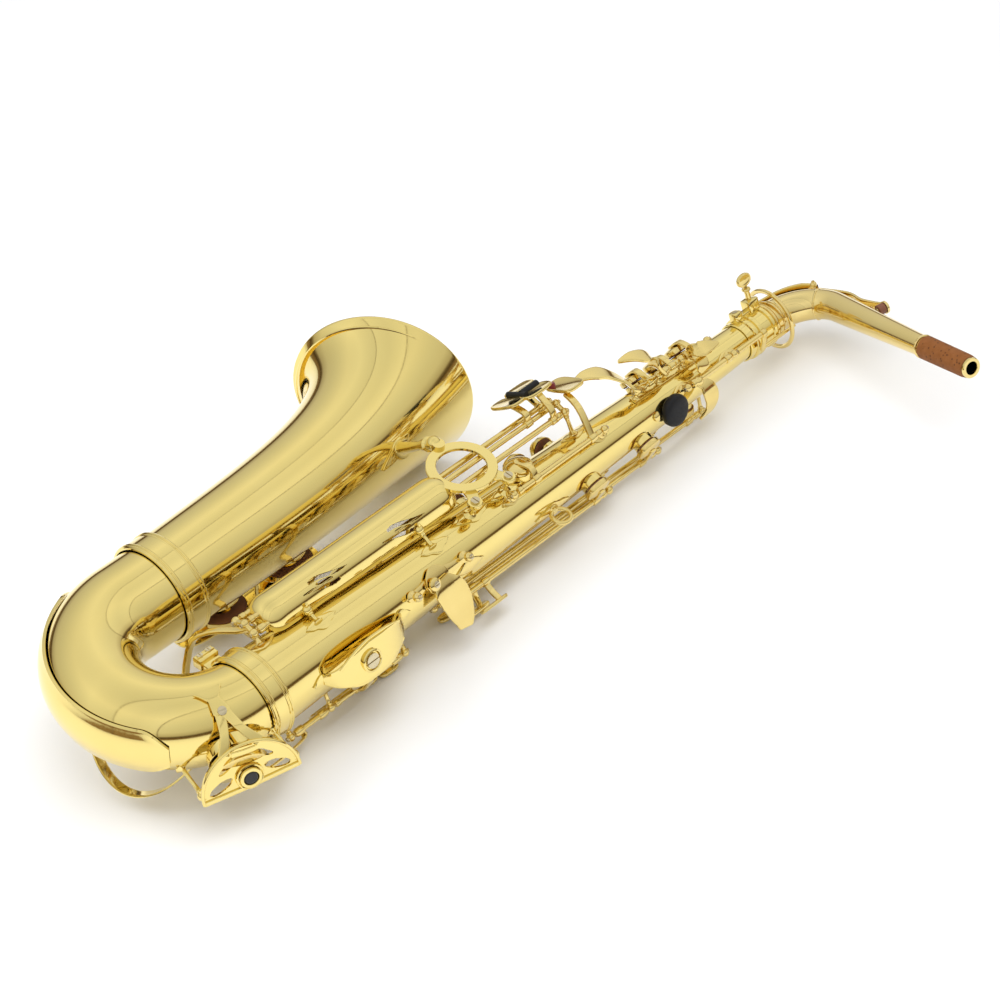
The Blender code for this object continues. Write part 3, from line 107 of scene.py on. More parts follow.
def bodyRadius(x):
    return tube["footRadius"] + (tube["topRadius"] - tube["footRadius"]) * x / tube["length"]


def outward(phi):
    return Vector((0, math.cos(math.radians(phi)), math.sin(math.radians(phi))))


def onAxis(x, phi, radius):
    return Vector((x, 0, 0)) + outward(phi) * radius


def onBody(x, phi, height=0.0):
    return onAxis(x, phi, bodyRadius(x) + height)


def bowRadius(turn):
    return tube["footRadius"] + (bell["footRadius"] - tube["footRadius"]) * turn / 180


def bowCentre(turn):
    angle, half = math.radians(turn), bend["spacing"] / 2
    return Vector((bend["rise"] - half * math.sin(angle), half - half * math.cos(angle), 0))


def bowOutward(turn, around):
    angle = math.radians(turn)
    outer = Vector((-math.sin(angle), -math.cos(angle), 0))
    return outer * math.cos(math.radians(around)) + zAxis * math.sin(math.radians(around))


def onBow(turn, around, height=0.0):
    return bowCentre(turn) + bowOutward(turn, around) * (bowRadius(turn) + height)


def bellStation(share):
    lean, endLean = math.radians(bell["lean"]), math.radians(bell["rimLean"])
    start = Vector((bell["jointX"], bend["spacing"], 0))
    end = Vector((bell["rimX"], bell["rimY"], 0))
    length = (end - start).length
    pull = length * Vector((math.cos(lean), math.sin(lean), 0))
    endPull = 0.8 * length * Vector((math.cos(endLean), math.sin(endLean), 0))
    t = share
    centre = (2 * t**3 - 3 * t**2 + 1) * start + (t**3 - 2 * t**2 + t) * pull
    centre += (3 * t**2 - 2 * t**3) * end + (t**3 - t**2) * endPull
    direction = (6 * t**2 - 6 * t) * start + (3 * t**2 - 4 * t + 1) * pull
    direction += (6 * t - 6 * t**2) * end + (3 * t**2 - 2 * t) * endPull
    flare = bell["rimRadius"] - bell["footRadius"] - bell["taper"]
    radius = bell["footRadius"] + bell["taper"] * t + flare * t ** bell["flare"]
    return centre, direction.normalized(), radius


def neckPoint(distance):
    # centre, direction and outer radius along the neck, before it is turned to where it is set
    turnLength = neck["bend"] * math.radians(neck["turn"])
    slope = (neck["tipRadius"] - neck["footRadius"]) / (neckLength - neck["rise"])
    radius = neck["footRadius"] + slope * max(distance - neck["rise"], 0)
    if distance <= neck["rise"]:
        return Vector((neckX + distance, 0, 0)), xAxis.copy(), radius
    angle = min((distance - neck["rise"]) / neck["bend"], math.radians(neck["turn"]))
    centre = Vector(
        (neckX + neck["rise"] + neck["bend"] * math.sin(angle), neck["bend"] * (math.cos(angle) - 1), 0)
    )
    direction = Vector((math.cos(angle), -math.sin(angle), 0))
    return centre + direction * max(distance - neck["rise"] - turnLength, 0), direction, radius


def outOfNeck(distance):
    direction = neckPoint(distance)[1]
    return Vector((-direction.y, direction.x, 0)).normalized()


# mesh helpers

def facing(normal, along):
    z = normal.normalized()
    x = (along - z * along.dot(z)).normalized()
    return Matrix((x, z.cross(x), z)).transposed()


def steady(direction):
    return zAxis if abs(direction.normalized().z) < 0.9 else xAxis


def place(bm, turn, origin):
    bmesh.ops.transform(bm, matrix=Matrix.Translation(origin) @ turn.to_4x4(), verts=bm.verts)
    return bm


def gather(parts):
    whole = bmesh.new()
    for part in parts:
        mesh = bpy.data.meshes.new("part")
        part.to_mesh(mesh)
        part.free()
        whole.from_mesh(mesh)
        bpy.data.meshes.remove(mesh)
    return whole


def turned(profile, origin, direction, steps=32):
    # radius and height pairs spun round direction
    bm = bmesh.new()
    points = [bm.verts.new((radius, 0, height)) for radius, height in profile]
    edges = [bm.edges.new(pair) for pair in zip(points, points[1:])]
    bmesh.ops.spin(
        bm, geom=points + edges, cent=(0, 0, 0), axis=(0, 0, 1), angle=2 * math.pi, steps=steps,
        use_merge=True
    )
    bmesh.ops.remove_doubles(bm, verts=bm.verts, dist=1e-4)
    bmesh.ops.recalc_face_normals(bm, faces=bm.faces)
    return place(bm, facing(direction, steady(direction)), origin)


def swept(stations, sides, square=1.0, closed=False, caps=True):
    # rings of (centre, turn, half width, half height) bridged into a tube; square < 1 flattens its sides
    bm = bmesh.new()
    loops = []
    for centre, turn, halfWidth, halfHeight in stations:
        ring = bmesh.ops.create_circle(bm, cap_ends=False, radius=1.0, segments=sides)["verts"]
        for vert in ring:
            u, v = vert.co.x, vert.co.y
            u = math.copysign(abs(u) ** square, u) * halfWidth
            v = math.copysign(abs(v) ** square, v) * halfHeight
            vert.co = centre + turn @ Vector((u, v, 0))
        loops.append(list({edge for vert in ring for edge in vert.link_edges}))
    pairs = list(zip(loops, loops[1:]))
    if closed:
        pairs.append((loops[-1], loops[0]))
    for first, second in pairs:
        bmesh.ops.bridge_loops(bm, edges=first + second)
    if caps and not closed:
        bmesh.ops.holes_fill(bm, edges=loops[0] + loops[-1], sides=0)
    bmesh.ops.recalc_face_normals(bm, faces=bm.faces)
    return bm


def rod(start, end, radius, endRadius=None, sides=rodSides):
    turn = facing(end - start, steady(end - start))
    last = radius if endRadius is None else endRadius
    return swept([(start, turn, radius, radius), (end, turn, last, last)], sides)


def ball(centre, radius, sides=20):
    bm = bmesh.new()
    bmesh.ops.create_uvsphere(bm, u_segments=sides, v_segments=sides * 2 // 3, radius=radius)
    bmesh.ops.translate(bm, vec=centre, verts=bm.verts)
    return bm


def smoothed(points, steps):
    # a curve through the points
    made = []
    for i in range(len(points) - 1):
        before = points[max(i - 1, 0)]
        a, b = points[i], points[i + 1]
        after = points[min(i + 2, len(points) - 1)]
        for k in range(steps):
            t = k / steps
            pull, endPull = (b - before) / 2, (after - a) / 2
            made.append(
                (2 * t**3 - 3 * t**2 + 1) * a + (t**3 - 2 * t**2 + t) * pull
                + (3 * t**2 - 2 * t**3) * b + (t**3 - t**2) * endPull
            )
    return made + [points[-1].copy()]


def strap(points, widths, thickness, across, steps=5, sides=20):
    # a flat strap with rounded edges, bent through the points; widths is one number or one for each point
    if isinstance(widths, (int, float)):
        widths = [widths] * len(points)
    line = smoothed(points, steps)
    stations = []
    for i, point in enumerate(line):
        direction = (line[min(i + 1, len(line) - 1)] - line[max(i - 1, 0)]).normalized()
        side = (across - direction * across.dot(direction)).normalized()
        turn = Matrix((side, direction.cross(side), direction)).transposed()
        share = i / (len(line) - 1) * (len(widths) - 1)
        low = min(int(share), len(widths) - 2) if len(widths) > 1 else 0
        width = widths[low] + (widths[low + 1] - widths[low]) * (share - low)
        stations.append((point, turn, width / 2, thickness / 2))
    return swept(stations, sides, square=0.35)


def plate(outline, thickness, origin, normal, along, edge=0.35):
    # a flat plate with softened edges, its underside at origin
    bm = bmesh.new()
    face = bm.faces.new([bm.verts.new((x, y, 0)) for x, y in outline])
    made = bmesh.ops.extrude_face_region(bm, geom=[face])["geom"]
    top = [item for item in made if isinstance(item, bmesh.types.BMVert)]
    bmesh.ops.translate(bm, vec=(0, 0, thickness), verts=top)
    bmesh.ops.recalc_face_normals(bm, faces=bm.faces)
    rims = [e for e in bm.edges if abs(e.verts[0].co.z - e.verts[1].co.z) < 1e-6]
    bmesh.ops.bevel(
        bm, geom=rims, offset=edge, offset_type="OFFSET", segments=2, profile=0.5,
        affect="EDGES", clamp_overlap=True, material=-1,
    )
    return place(bm, facing(normal, along), origin)


def ovalOutline(length, width, power=2.0, steps=40):
    points = []
    for i in range(steps):
        c, s = math.cos(2 * math.pi * i / steps), math.sin(2 * math.pi * i / steps)
        u = math.copysign(abs(c) ** (2 / power), c) * length / 2
        points.append((u, math.copysign(abs(s) ** (2 / power), s) * width / 2))
    return points


def leafOnBody(x, phi, length, width, skew=0.0, thickness=1.3, waist=0.0):
    # a pointed foot soldered on the tube; it follows the tube's round
    bm = bmesh.new()
    bmesh.ops.create_grid(bm, x_segments=20, y_segments=6, size=1.0)
    made = bmesh.ops.extrude_face_region(bm, geom=list(bm.faces))["geom"]
    top = {item for item in made if isinstance(item, bmesh.types.BMVert)}
    for vert in bm.verts:
        u, v = vert.co.x, vert.co.y
        half = width / 2 * (max(1 - abs(u) ** 1.6, 0.02)) * (
            1 - waist * math.exp(-((abs(u) - 0.45) / 0.18) ** 2)
        )
        height = 0.1 + (thickness * (1 - 0.35 * v * v) if vert in top else 0.0)
        vert.co = onBody(
            x + u * length / 2, phi + math.degrees((v * half + skew * u) / bodyRadius(x)), height
        )
    bmesh.ops.recalc_face_normals(bm, faces=bm.faces)
    return bm


def screwHead(at, direction, radius=2.2, height=1.4):
    # a domed head with its slot cut as two half discs
    parts = []
    turn = facing(direction, steady(direction))
    for side in (1, -1):
        outline = [(0.35 * side, -radius * 0.93), (0.35 * side, radius * 0.93)]
        for k in range(9):
            angle = math.radians(80 - 20 * k)
            outline.append((side * radius * math.cos(angle), radius * math.sin(angle)))
        parts.append(plate(outline, height, at, direction, turn.col[0], edge=0.15))
    parts.append(
        turned(
            [(0, 0), (radius * 0.98, 0), (radius * 0.98, height * 0.45), (0, height * 0.45)], at, direction,
            24
        )
    )
    return gather(parts)


def camel(name):
    words = name.split("_")
    return words[0] + "".join(word.title() for word in words[1:])


def finishPiece(name, bm, material, body, nodes=(), sharp=38, turnBack=False):
    if turnBack:
        bmesh.ops.transform(bm, matrix=neckTurnBack, verts=bm.verts)
    bmesh.ops.transform(bm, matrix=fromHorn, verts=bm.verts)
    mesh = bpy.data.meshes.new(name)
    bm.to_mesh(mesh)
    bm.free()
    mesh.materials.append(material)
    mesh.shade_smooth()
    mesh.set_sharp_from_angle(angle=math.radians(sharp))
    obj = bpy.data.objects.new(name, mesh)
    bpy.context.scene.collection.objects.link(obj)
    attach(obj, body)
    if nodes:
        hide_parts(*nodes)
    return obj


# finishes

def socket(tree, name, kind, inOut, value=None):
    made = tree.interface.new_socket(name=name, socket_type=kind, in_out=inOut)
    if value is not None:
        made.default_value = value
    return made


def makeHandlingGroup():
    # soft clouding and fine hairlines of a handled, polished surface
    tree = bpy.data.node_groups.new("handledSurface", "ShaderNodeTree")
    socket(tree, "Clean", "NodeSocketColor", "INPUT")
    socket(tree, "Clouded", "NodeSocketColor", "INPUT")
    socket(tree, "Cloud scale", "NodeSocketFloat", "INPUT", 30.0)
    socket(tree, "Grain scale", "NodeSocketFloat", "INPUT", 600.0)
    socket(tree, "Smooth", "NodeSocketFloat", "INPUT", 0.1)
    socket(tree, "Dull", "NodeSocketFloat", "INPUT", 0.2)
    socket(tree, "Color", "NodeSocketColor", "OUTPUT")
    socket(tree, "Roughness", "NodeSocketFloat", "OUTPUT")
    socket(tree, "Height", "NodeSocketFloat", "OUTPUT")
    nodes, links = tree.nodes, tree.links
    inputs, outputs = nodes.new("NodeGroupInput"), nodes.new("NodeGroupOutput")
    coords = nodes.new("ShaderNodeTexCoord")
    cloud = nodes.new("ShaderNodeTexNoise")
    cloud.inputs["Detail"].default_value = 3.0
    grain = nodes.new("ShaderNodeTexNoise")
    grain.inputs["Detail"].default_value = 2.0
    for texture, scale in ((cloud, "Cloud scale"), (grain, "Grain scale")):
        links.new(coords.outputs["Object"], texture.inputs["Vector"])
        links.new(inputs.outputs[scale], texture.inputs["Scale"])
    mix = nodes.new("ShaderNodeMix")
    mix.data_type = "RGBA"
    links.new(cloud.outputs["Fac"], mix.inputs["Factor"])
    links.new(inputs.outputs["Clean"], mix.inputs[6])
    links.new(inputs.outputs["Clouded"], mix.inputs[7])
    links.new(mix.outputs[2], outputs.inputs["Color"])
    spread = nodes.new("ShaderNodeMath")
    spread.operation = "MULTIPLY"
    links.new(cloud.outputs["Fac"], spread.inputs[0])
    links.new(grain.outputs["Fac"], spread.inputs[1])
    roughRange = nodes.new("ShaderNodeMapRange")
    roughRange.inputs["From Min"].default_value = 0.12
    roughRange.inputs["From Max"].default_value = 0.42
    links.new(spread.outputs[0], roughRange.inputs["Value"])
    links.new(inputs.outputs["Smooth"], roughRange.inputs["To Min"])
    links.new(inputs.outputs["Dull"], roughRange.inputs["To Max"])
    links.new(roughRange.outputs[0], outputs.inputs["Roughness"])
    links.new(grain.outputs["Fac"], outputs.inputs["Height"])
    return tree


handledSurface = makeHandlingGroup()


def makeFinish(name, clean, clouded, smooth, dull, metallic=0.0, cloudScale=30.0, grainScale=600.0, bump=0.0,
               coat=0.0, sheen=0.0, specular=0.5):
    material = bpy.data.materials.new(name)
    material.use_nodes = True
    nodes, links = material.node_tree.nodes, material.node_tree.links
    shader = nodes["Principled BSDF"]
    group = nodes.new("ShaderNodeGroup")
    group.node_tree = handledSurface
    group.inputs["Clean"].default_value = (*clean, 1)
    group.inputs["Clouded"].default_value = (*clouded, 1)
    group.inputs["Cloud scale"].default_value = cloudScale
    group.inputs["Grain scale"].default_value = grainScale
    group.inputs["Smooth"].default_value = smooth
    group.inputs["Dull"].default_value = dull
    links.new(group.outputs["Color"], shader.inputs["Base Color"])
    links.new(group.outputs["Roughness"], shader.inputs["Roughness"])
    shader.inputs["Metallic"].default_value = metallic
    shader.inputs["Coat Weight"].default_value = coat
    shader.inputs["Coat Roughness"].default_value = 0.04
    shader.inputs["Sheen Weight"].default_value = sheen
    shader.inputs["Specular IOR Level"].default_value = specular
    if bump:
        height = nodes.new("ShaderNodeBump")
        height.inputs["Strength"].default_value = bump
        height.inputs["Distance"].default_value = 0.0002
        links.new(group.outputs["Height"], height.inputs["Height"])
        links.new(height.outputs["Normal"], shader.inputs["Normal"])
    return material


goldLacquer = makeFinish(
    "goldLacquer", (0.88, 0.72, 0.27), (0.85, 0.67, 0.22), 0.05, 0.11, metallic=1.0, cloudScale=22, coat=0.25
)
neckLacquer = makeFinish(
    "neckLacquer", (0.86, 0.69, 0.29), (0.82, 0.63, 0.23), 0.06, 0.13, metallic=1.0, cloudScale=30, coat=0.25
)
keyLacquer = makeFinish(
    "keyLacquer", (0.86, 0.69, 0.27), (0.79, 0.60, 0.20), 0.08, 0.17, metallic=1.0, cloudScale=60, coat=0.25
)
padLeather = makeFinish(
    "padLeather", (0.23, 0.085, 0.04), (0.12, 0.04, 0.02), 0.45, 0.7, cloudScale=120, grainScale=2500,
    bump=0.35
)
blackGloss = makeFinish(
    "blackGloss", (0.006, 0.006, 0.007), (0.010, 0.010, 0.011), 0.38, 0.55, cloudScale=80, specular=0.25
)
blackFelt = makeFinish(
    "blackFelt", (0.015, 0.015, 0.016), (0.03, 0.03, 0.03), 0.8, 0.95, grainScale=3500, bump=0.7, sheen=0.3
)
redFelt = makeFinish(
    "redFelt", (0.22, 0.02, 0.02), (0.14, 0.012, 0.012), 0.8, 0.95, grainScale=3500, bump=0.7, sheen=0.3
)
screwSteel = makeFinish(
    "screwSteel", (0.72, 0.63, 0.42), (0.62, 0.53, 0.33), 0.16, 0.3, metallic=1.0, cloudScale=150
)
ivoryTip = makeFinish("ivoryTip", (0.83, 0.81, 0.75), (0.74, 0.71, 0.64), 0.2, 0.35, cloudScale=90, coat=0.3)


def makeCorkFinish():
    material = makeFinish("corkSheet", (0.27, 0.095, 0.020), (0.19, 0.062, 0.012), 0.75, 0.95, cloudScale=220,
                          grainScale=1800, bump=0.5)
    nodes, links = material.node_tree.nodes, material.node_tree.links
    shader = nodes["Principled BSDF"]
    clean = shader.inputs["Base Color"].links[0].from_socket
    coords = nodes.new("ShaderNodeTexCoord")
    fleck = nodes.new("ShaderNodeTexVoronoi")
    fleck.inputs["Scale"].default_value = 330
    ramp = nodes.new("ShaderNodeValToRGB")
    ramp.color_ramp.elements[0].position = 0.10
    ramp.color_ramp.elements[0].color = (0.05, 0.018, 0.008, 1)
    ramp.color_ramp.elements[1].position = 0.30
    ramp.color_ramp.elements[1].color = (1, 1, 1, 1)
    mix = nodes.new("ShaderNodeMix")
    mix.data_type = "RGBA"
    mix.blend_type = "MULTIPLY"
    mix.inputs["Factor"].default_value = 0.75
    links.new(coords.outputs["Object"], fleck.inputs["Vector"])
    links.new(fleck.outputs["Distance"], ramp.inputs["Fac"])
    links.new(clean, mix.inputs[6])
    links.new(ramp.outputs["Color"], mix.inputs[7])
    links.new(mix.outputs[2], shader.inputs["Base Color"])
    return material


corkSheet = makeCorkFinish()
print("finishes made")

# tone holes: place on the tube and hole radius
holes = {
    "low_eb": (84, 202, 13.5), "key_d": (88, 352, 12.5), "key_e": (126, 352, 12), "key_f": (162, 352, 11),
    "key_fsharp": (194, 352, 8), "g_sharp": (262, 82, 7.2), "key_g": (226, 352, 10), "key_a": (258, 352, 8.5),
    "key_b": (286, 352, 8), "key_c": (312, 352, 7), "side_bb": (312, 204, 7.5), "side_c": (367, 204, 7),
    "high_e": (425, 262, 6), "palm_d": (393, 40, 7), "palm_eb": (414, 48, 6.5), "palm_f": (438, 40, 6),
}
bowHoles = {"low_c": (22, 345, 16), "low_csharp": (170, 270, 14)}
bellHoles = {"low_b": (0.2, 16), "low_bb": (0.43, 17)}


def holeAxis(name):
    if name in bowHoles:
        turn, around, _ = bowHoles[name]
        return onBow(turn, around), bowOutward(turn, around)
    if name in bellHoles:
        centre, _, radius = bellStation(bellHoles[name][0])
        return centre - zAxis * radius, -zAxis
    x, phi, _ = holes[name]
    return onBody(x, phi), outward(phi)


def holeRadius(name):
    return {**holes, **bowHoles, **bellHoles}[name][-1]


def chimneyRing(name):
    centre, direction = holeAxis(name)
    radius = holeRadius(name)
    profile = [
        (radius, -6), (radius + 0.9, -6), (radius + 0.9, chimney - 0.5), (radius + 1.15, chimney - 0.25),
        (radius + 0.9, chimney), (radius + 0.2, chimney), (radius, chimney - 0.3), (radius, -6),
    ]
    return turned(profile, centre, direction, 40)


def openHoles(bm, names):
    # takes the tube's wall away inside each tone hole, under its chimney
    gone = []
    for name in names:
        centre, direction = holeAxis(name)
        radius = holeRadius(name) - 0.2
        for face in bm.faces:
            apart = face.calc_center_median() - centre
            if abs(apart.dot(direction)) < 9 and (apart - direction * apart.dot(direction)).length < radius:
                gone.append(face)
    bmesh.ops.delete(bm, geom=list(set(gone)), context="FACES")
    return bm


def tubeSkin(stations, wall, sides):
    # outer and inner skins joined round both ends; stations hold centre, direction and outer radius
    outer = [(c, facing(d, zAxis), r, r) for c, d, r in stations]
    inner = [(c, turn, r - wall, r - wall) for c, turn, r, _ in reversed(outer)]
    return swept(outer + inner, sides, closed=True)


def beadOn(centre, direction, radius, wire, sides=fineSides):
    # a thin raised line round a tube
    profile = [(radius - 0.3, -wire), (radius + wire * 0.45, -wire * 0.7), (radius + wire * 0.75, 0)]
    profile += [(radius + wire * 0.45, wire * 0.7), (radius - 0.3, wire), (radius - 0.3, -wire)]
    return turned(profile, centre, direction, sides)


# body tube

bodyFoot, bodySteps = 5.4, 180
bodyStations = []
for i in range(bodySteps + 1):
    x = bodyFoot + (tube["length"] - bodyFoot) * i / bodySteps
    bodyStations.append((Vector((x, 0, 0)), xAxis, bodyRadius(x)))
bodySkin = openHoles(tubeSkin(bodyStations, tube["wall"], fineSides), holes)
bodyParts = [bodySkin] + [chimneyRing(name) for name in holes]
finishPiece("bodyTube", gather(bodyParts), goldLacquer, "horn", ["body_tube"])
print("body tube made")

# bow

bowFoot = 5.1
bowStations = [(Vector((bowFoot, 0, 0)), -xAxis, tube["footRadius"])]
for i in range(91):
    turn = 2.0 * i
    angle = math.radians(turn)
    bowStations.append((bowCentre(turn), Vector((-math.cos(angle), math.sin(angle), 0)), bowRadius(turn)))
leanAngle = math.radians(bell["lean"])
bowEnd = Vector((bell["jointX"] - 0.4, bend["spacing"], 0))
bowStations.append((bowEnd, Vector((math.cos(leanAngle), math.sin(leanAngle), 0)), bell["footRadius"]))
bowSkin = openHoles(tubeSkin(bowStations, tube["wall"], fineSides), bowHoles)
finishPiece(
    "bowTube", gather([bowSkin] + [chimneyRing(name) for name in bowHoles]), goldLacquer, "horn", ["bow"]
)

# bell

rimCentre, rimDirection, rimRadius = bellStation(1.0)
bellStations = []
for i in range(101):
    share = 1 - (1 - i / 100) ** 1.6
    bellStations.append(bellStation(share))
bellSkin = openHoles(tubeSkin(bellStations, tube["wall"], bellSides), bellHoles)
rimWire = bell["wire"]
rimProfile = []
for i in range(17):
    angle = 2 * math.pi * i / 16
    rimProfile.append((rimRadius - rimWire + rimWire * math.cos(angle), rimWire + rimWire * math.sin(angle)))
rimRoll = turned(rimProfile, rimCentre, rimDirection, bellSides)
secondLine = bellStation(0.975)
rimLine = beadOn(secondLine[0] + secondLine[1] * 0.2, rimDirection, secondLine[2] - 0.1, 1.1, bellSides)
bellParts = [bellSkin, rimRoll, rimLine] + [chimneyRing(name) for name in bellHoles]
finishPiece("bellTube", gather(bellParts), goldLacquer, "horn", ["bell"])
print("bow and bell made")

# joint rings

ring = {"width": 18.0, "thickness": 1.6, "clearance": 0.9}
clampInner = tube["footRadius"] + ring["clearance"]
clampOuter = clampInner + ring["thickness"]


def bandProfile(low, high, inner, outer):
    # a band with a pair of raised lines by each edge
    profile = [(inner, low), (outer - 0.5, low), (outer, low + 0.4)]
    for at in (low + 1.6, low + 3.8, high - 3.8, high - 1.6):
        profile += [(outer, at - 0.75), (outer + 0.55, at - 0.4), (outer + 0.7, at), (outer + 0.55, at + 0.4)]
        profile += [(outer, at + 0.75)]
    return profile + [(outer, high - 0.4), (outer - 0.5, high), (inner, high), (inner, low)]


clampBand = turned(
    bandProfile(1.0, ring["width"], clampInner, clampOuter), Vector((0, 0, 0)), xAxis, fineSides
)
lugY = clampOuter + 3.5
lugBlock = plate(
    [(-3, -3.6), (12, -3.6), (12, 3.6), (-3, 3.6)], 8.4, Vector((0, lugY, 9.4)), zAxis, xAxis, edge=0.8
)
lugFoot = plate(
    [(-2, -7), (11, -7), (11, 3), (-2, 3)], 4.6, Vector((0, lugY - 3, 11)), zAxis, xAxis, edge=0.8
)
lugSlit = plate(
    [(-2.4, -0.5), (11.6, -0.5), (11.6, 0.5), (-2.4, 0.5)], 1.0, Vector((0, lugY, 17.6)), zAxis, xAxis, 0.2
)
finishPiece(
    "clampRing", gather([clampBand, lugBlock, lugFoot, lugSlit]), goldLacquer, "horn",
    ["body_bow_clamp_ring"]
)
clampScrews = [screwHead(Vector((x, lugY + 1.4, 17.7)), zAxis, 2.1, 1.1) for x in (0.8, 8.0)]
finishPiece("clampScrews", gather(clampScrews), screwSteel, "horn")

halfLean = math.radians(bell["lean"] / 2)
bellRingWay = Vector((math.cos(halfLean), math.sin(halfLean), 0))
bellRingInner = bell["footRadius"] + 1.0
bellBand = turned(
    bandProfile(-2.0, ring["width"], bellRingInner, bellRingInner + ring["thickness"]),
    Vector((bell["jointX"], bend["spacing"], 0)), bellRingWay, fineSides,
)
finishPiece("bellRing", bellBand, goldLacquer, "horn", ["bell_bow_ring"])

# shield over the bend

shield = {"turn": (48.0, 172.0), "span": 34.0, "lift": 1.1, "thickness": 1.2}
bm = bmesh.new()
bmesh.ops.create_grid(bm, x_segments=90, y_segments=26, size=1.0)
made = bmesh.ops.extrude_face_region(bm, geom=list(bm.faces))["geom"]
shieldTop = {item for item in made if isinstance(item, bmesh.types.BMVert)}
for vert in bm.verts:
    u, v = vert.co.x, vert.co.y
    fade = 0.42 + 0.58 * math.sin(math.pi / 2 * min(1.0, (1 - abs(u)) * 5))
    turn = (shield["turn"][0] + shield["turn"][1]) / 2 + u * (shield["turn"][1] - shield["turn"][0]) / 2
    edge = max(0.0, abs(v) - 0.86) / 0.14
    height = shield["lift"] + (shield["thickness"] * (1 + 0.45 * math.exp(-((abs(v) - 0.9) / 0.05) ** 2)) *
                               (1 - 0.6 * max(0.0, edge) ** 3) if vert in shieldTop else 0)
    vert.co = onBow(turn, shield["span"] * fade * v, height)
bmesh.ops.recalc_face_normals(bm, faces=bm.faces)
finishPiece("bowShield", bm, goldLacquer, "horn", ["bow_guard_plate"])
print("rings and shield made")

# hinge lines: angle, height over the tube, and where that height holds
hingeLines = {
    "lower_stack": (304, 7.5, 72), "upper_stack": (304, 7.5, 210), "low_keys": (243, 12, 20),
    "side_bb": (226, 7, 170), "side_c": (240, 7, 170), "high_e": (254, 7, 170), "g_sharp": (116, 7, 240),
    "palm": (92, 7, 376), "octave": (140, 7, 400),
}
tableLines = {"table_csharp": (13, 33.5), "table_b": (21, 36.5), "table_bb": (29, 33.5)}
hingeRadius = 2.0


def hingePoint(line, x):
    if line in tableLines:
        return Vector((x, *tableLines[line]))
    phi, height, at = hingeLines[line]
    held = onBody(at, phi, height)
    return Vector((x, held.y, held.z))


def turnedPost(foot, head, ballRadius=3.0, footSize=3.1):
    # a base flange, a waisted stem with a collar, and the ball that takes the pivot
    length = (head - foot).length
    profile = [(0, 0), (footSize, 0), (footSize, 0.7), (footSize * 0.72, 1.2), (1.55, min(2.6, length * 0.4))]
    profile += [(1.35, length * 0.6), (1.7, max(length - ballRadius - 1.1, length * 0.62))]
    profile += [
        (2.1, max(length - ballRadius - 0.5, length * 0.66)), (1.8, length - ballRadius * 0.6), (0, length)
    ]
    return [turned(profile, foot, head - foot, 24), ball(head, ballRadius, 24)]


def pivotScrews(line, places):
    # a slotted pivot head on the outer face of each end post
    heads = []
    for x, way in ((places[0], -1), (places[-1], 1)):
        heads.append(screwHead(hingePoint(line, x) + xAxis * way * 2.75, xAxis * way, 1.5, 0.7))
    return heads


def railStrip(x1, x2, phi, width=6.2):
    across = outward(phi + 90)
    return strap(
        [onBody(x1, phi, 0.9), onBody((x1 + x2) / 2, phi, 0.9), onBody(x2, phi, 0.9)], width, 1.3, across, 3
    )


shortRails = {
    "lower_stack_rail": ("lower_stack", (70, 106, 143, 178, 204.5)),
    "upper_stack_rail": ("upper_stack", (213, 241, 271, 298, 324)),
    "low_key_rail": ("low_keys", (24, 60, 128)),
    "palm_rail": ("palm", (376, 400, 424, 452)),
    "octave_rail": ("octave", (412, 462)),
}
screwHeads = []
for node, (line, places) in shortRails.items():
    phi = hingeLines[line][0]
    if line == "octave":
        parts = [leafOnBody(x, phi, 20, 8.5) for x in places]
    else:
        parts = [railStrip(places[0] - 3.4, places[-1] + 3.4, phi)]
    for x in places:
        parts += turnedPost(onBody(x, phi, 0.9), hingePoint(line, x))
    finishPiece(camel(node), gather(parts), keyLacquer, "horn", [node])
    screwHeads += pivotScrews(line, places)

sidePosts = {"side_bb": (178, 326), "side_c": (172, 384), "high_e": (166, 440)}
parts = []
for line, places in sidePosts.items():
    phi = hingeLines[line][0]
    for x in places:
        parts += [leafOnBody(x, phi, 17, 8.0)] + turnedPost(onBody(x, phi, 0.9), hingePoint(line, x))
    parts.append(rod(hingePoint(line, places[0]), hingePoint(line, places[1]), 0.9, sides=12))
    screwHeads += pivotScrews(line, places)
parts.append(strap([onBody(173, phi, 1.0) for phi in (226, 233, 240, 247, 254)], 14, 1.3, xAxis, 3))
finishPiece("sideKeyRail", gather(parts), keyLacquer, "horn", ["side_key_rail"])

gSharpPosts = (240, 330)
parts = [rod(hingePoint("g_sharp", 240), hingePoint("g_sharp", 330), 0.9, sides=12)]
for x in gSharpPosts:
    parts += [leafOnBody(x, 116, 17, 8.0)] + turnedPost(onBody(x, 116, 0.9), hingePoint("g_sharp", x))
screwHeads += pivotScrews("g_sharp", gSharpPosts)
finishPiece("gSharpRail", gather(parts), keyLacquer, "horn", ["g_sharp_rail"])

tablePosts = (27, 318)
parts = []
for x in tablePosts:
    left, middle, right = (hingePoint(line, x) for line in tableLines)
    parts.append(leafOnBody(x, 74, 24, 10))
    parts += turnedPost(onBody(x, 74, 0.9), left, 3.2, 3.8)
    for start, end in ((left, middle), (middle, right)):
        parts.append(rod(start, end, 1.9))
    parts += [ball(middle, 3.1, 24), ball(right, 3.1, 24)]
for line in tableLines:
    parts.append(rod(hingePoint(line, 27), hingePoint(line, 318), 0.9, sides=12))
    screwHeads += pivotScrews(line, tablePosts)
finishPiece("tableRail", gather(parts), keyLacquer, "horn", ["table_rail"])
finishPiece("pivotScrews", gather(screwHeads), screwSteel, "horn")
print("posts and rails made")

# keys

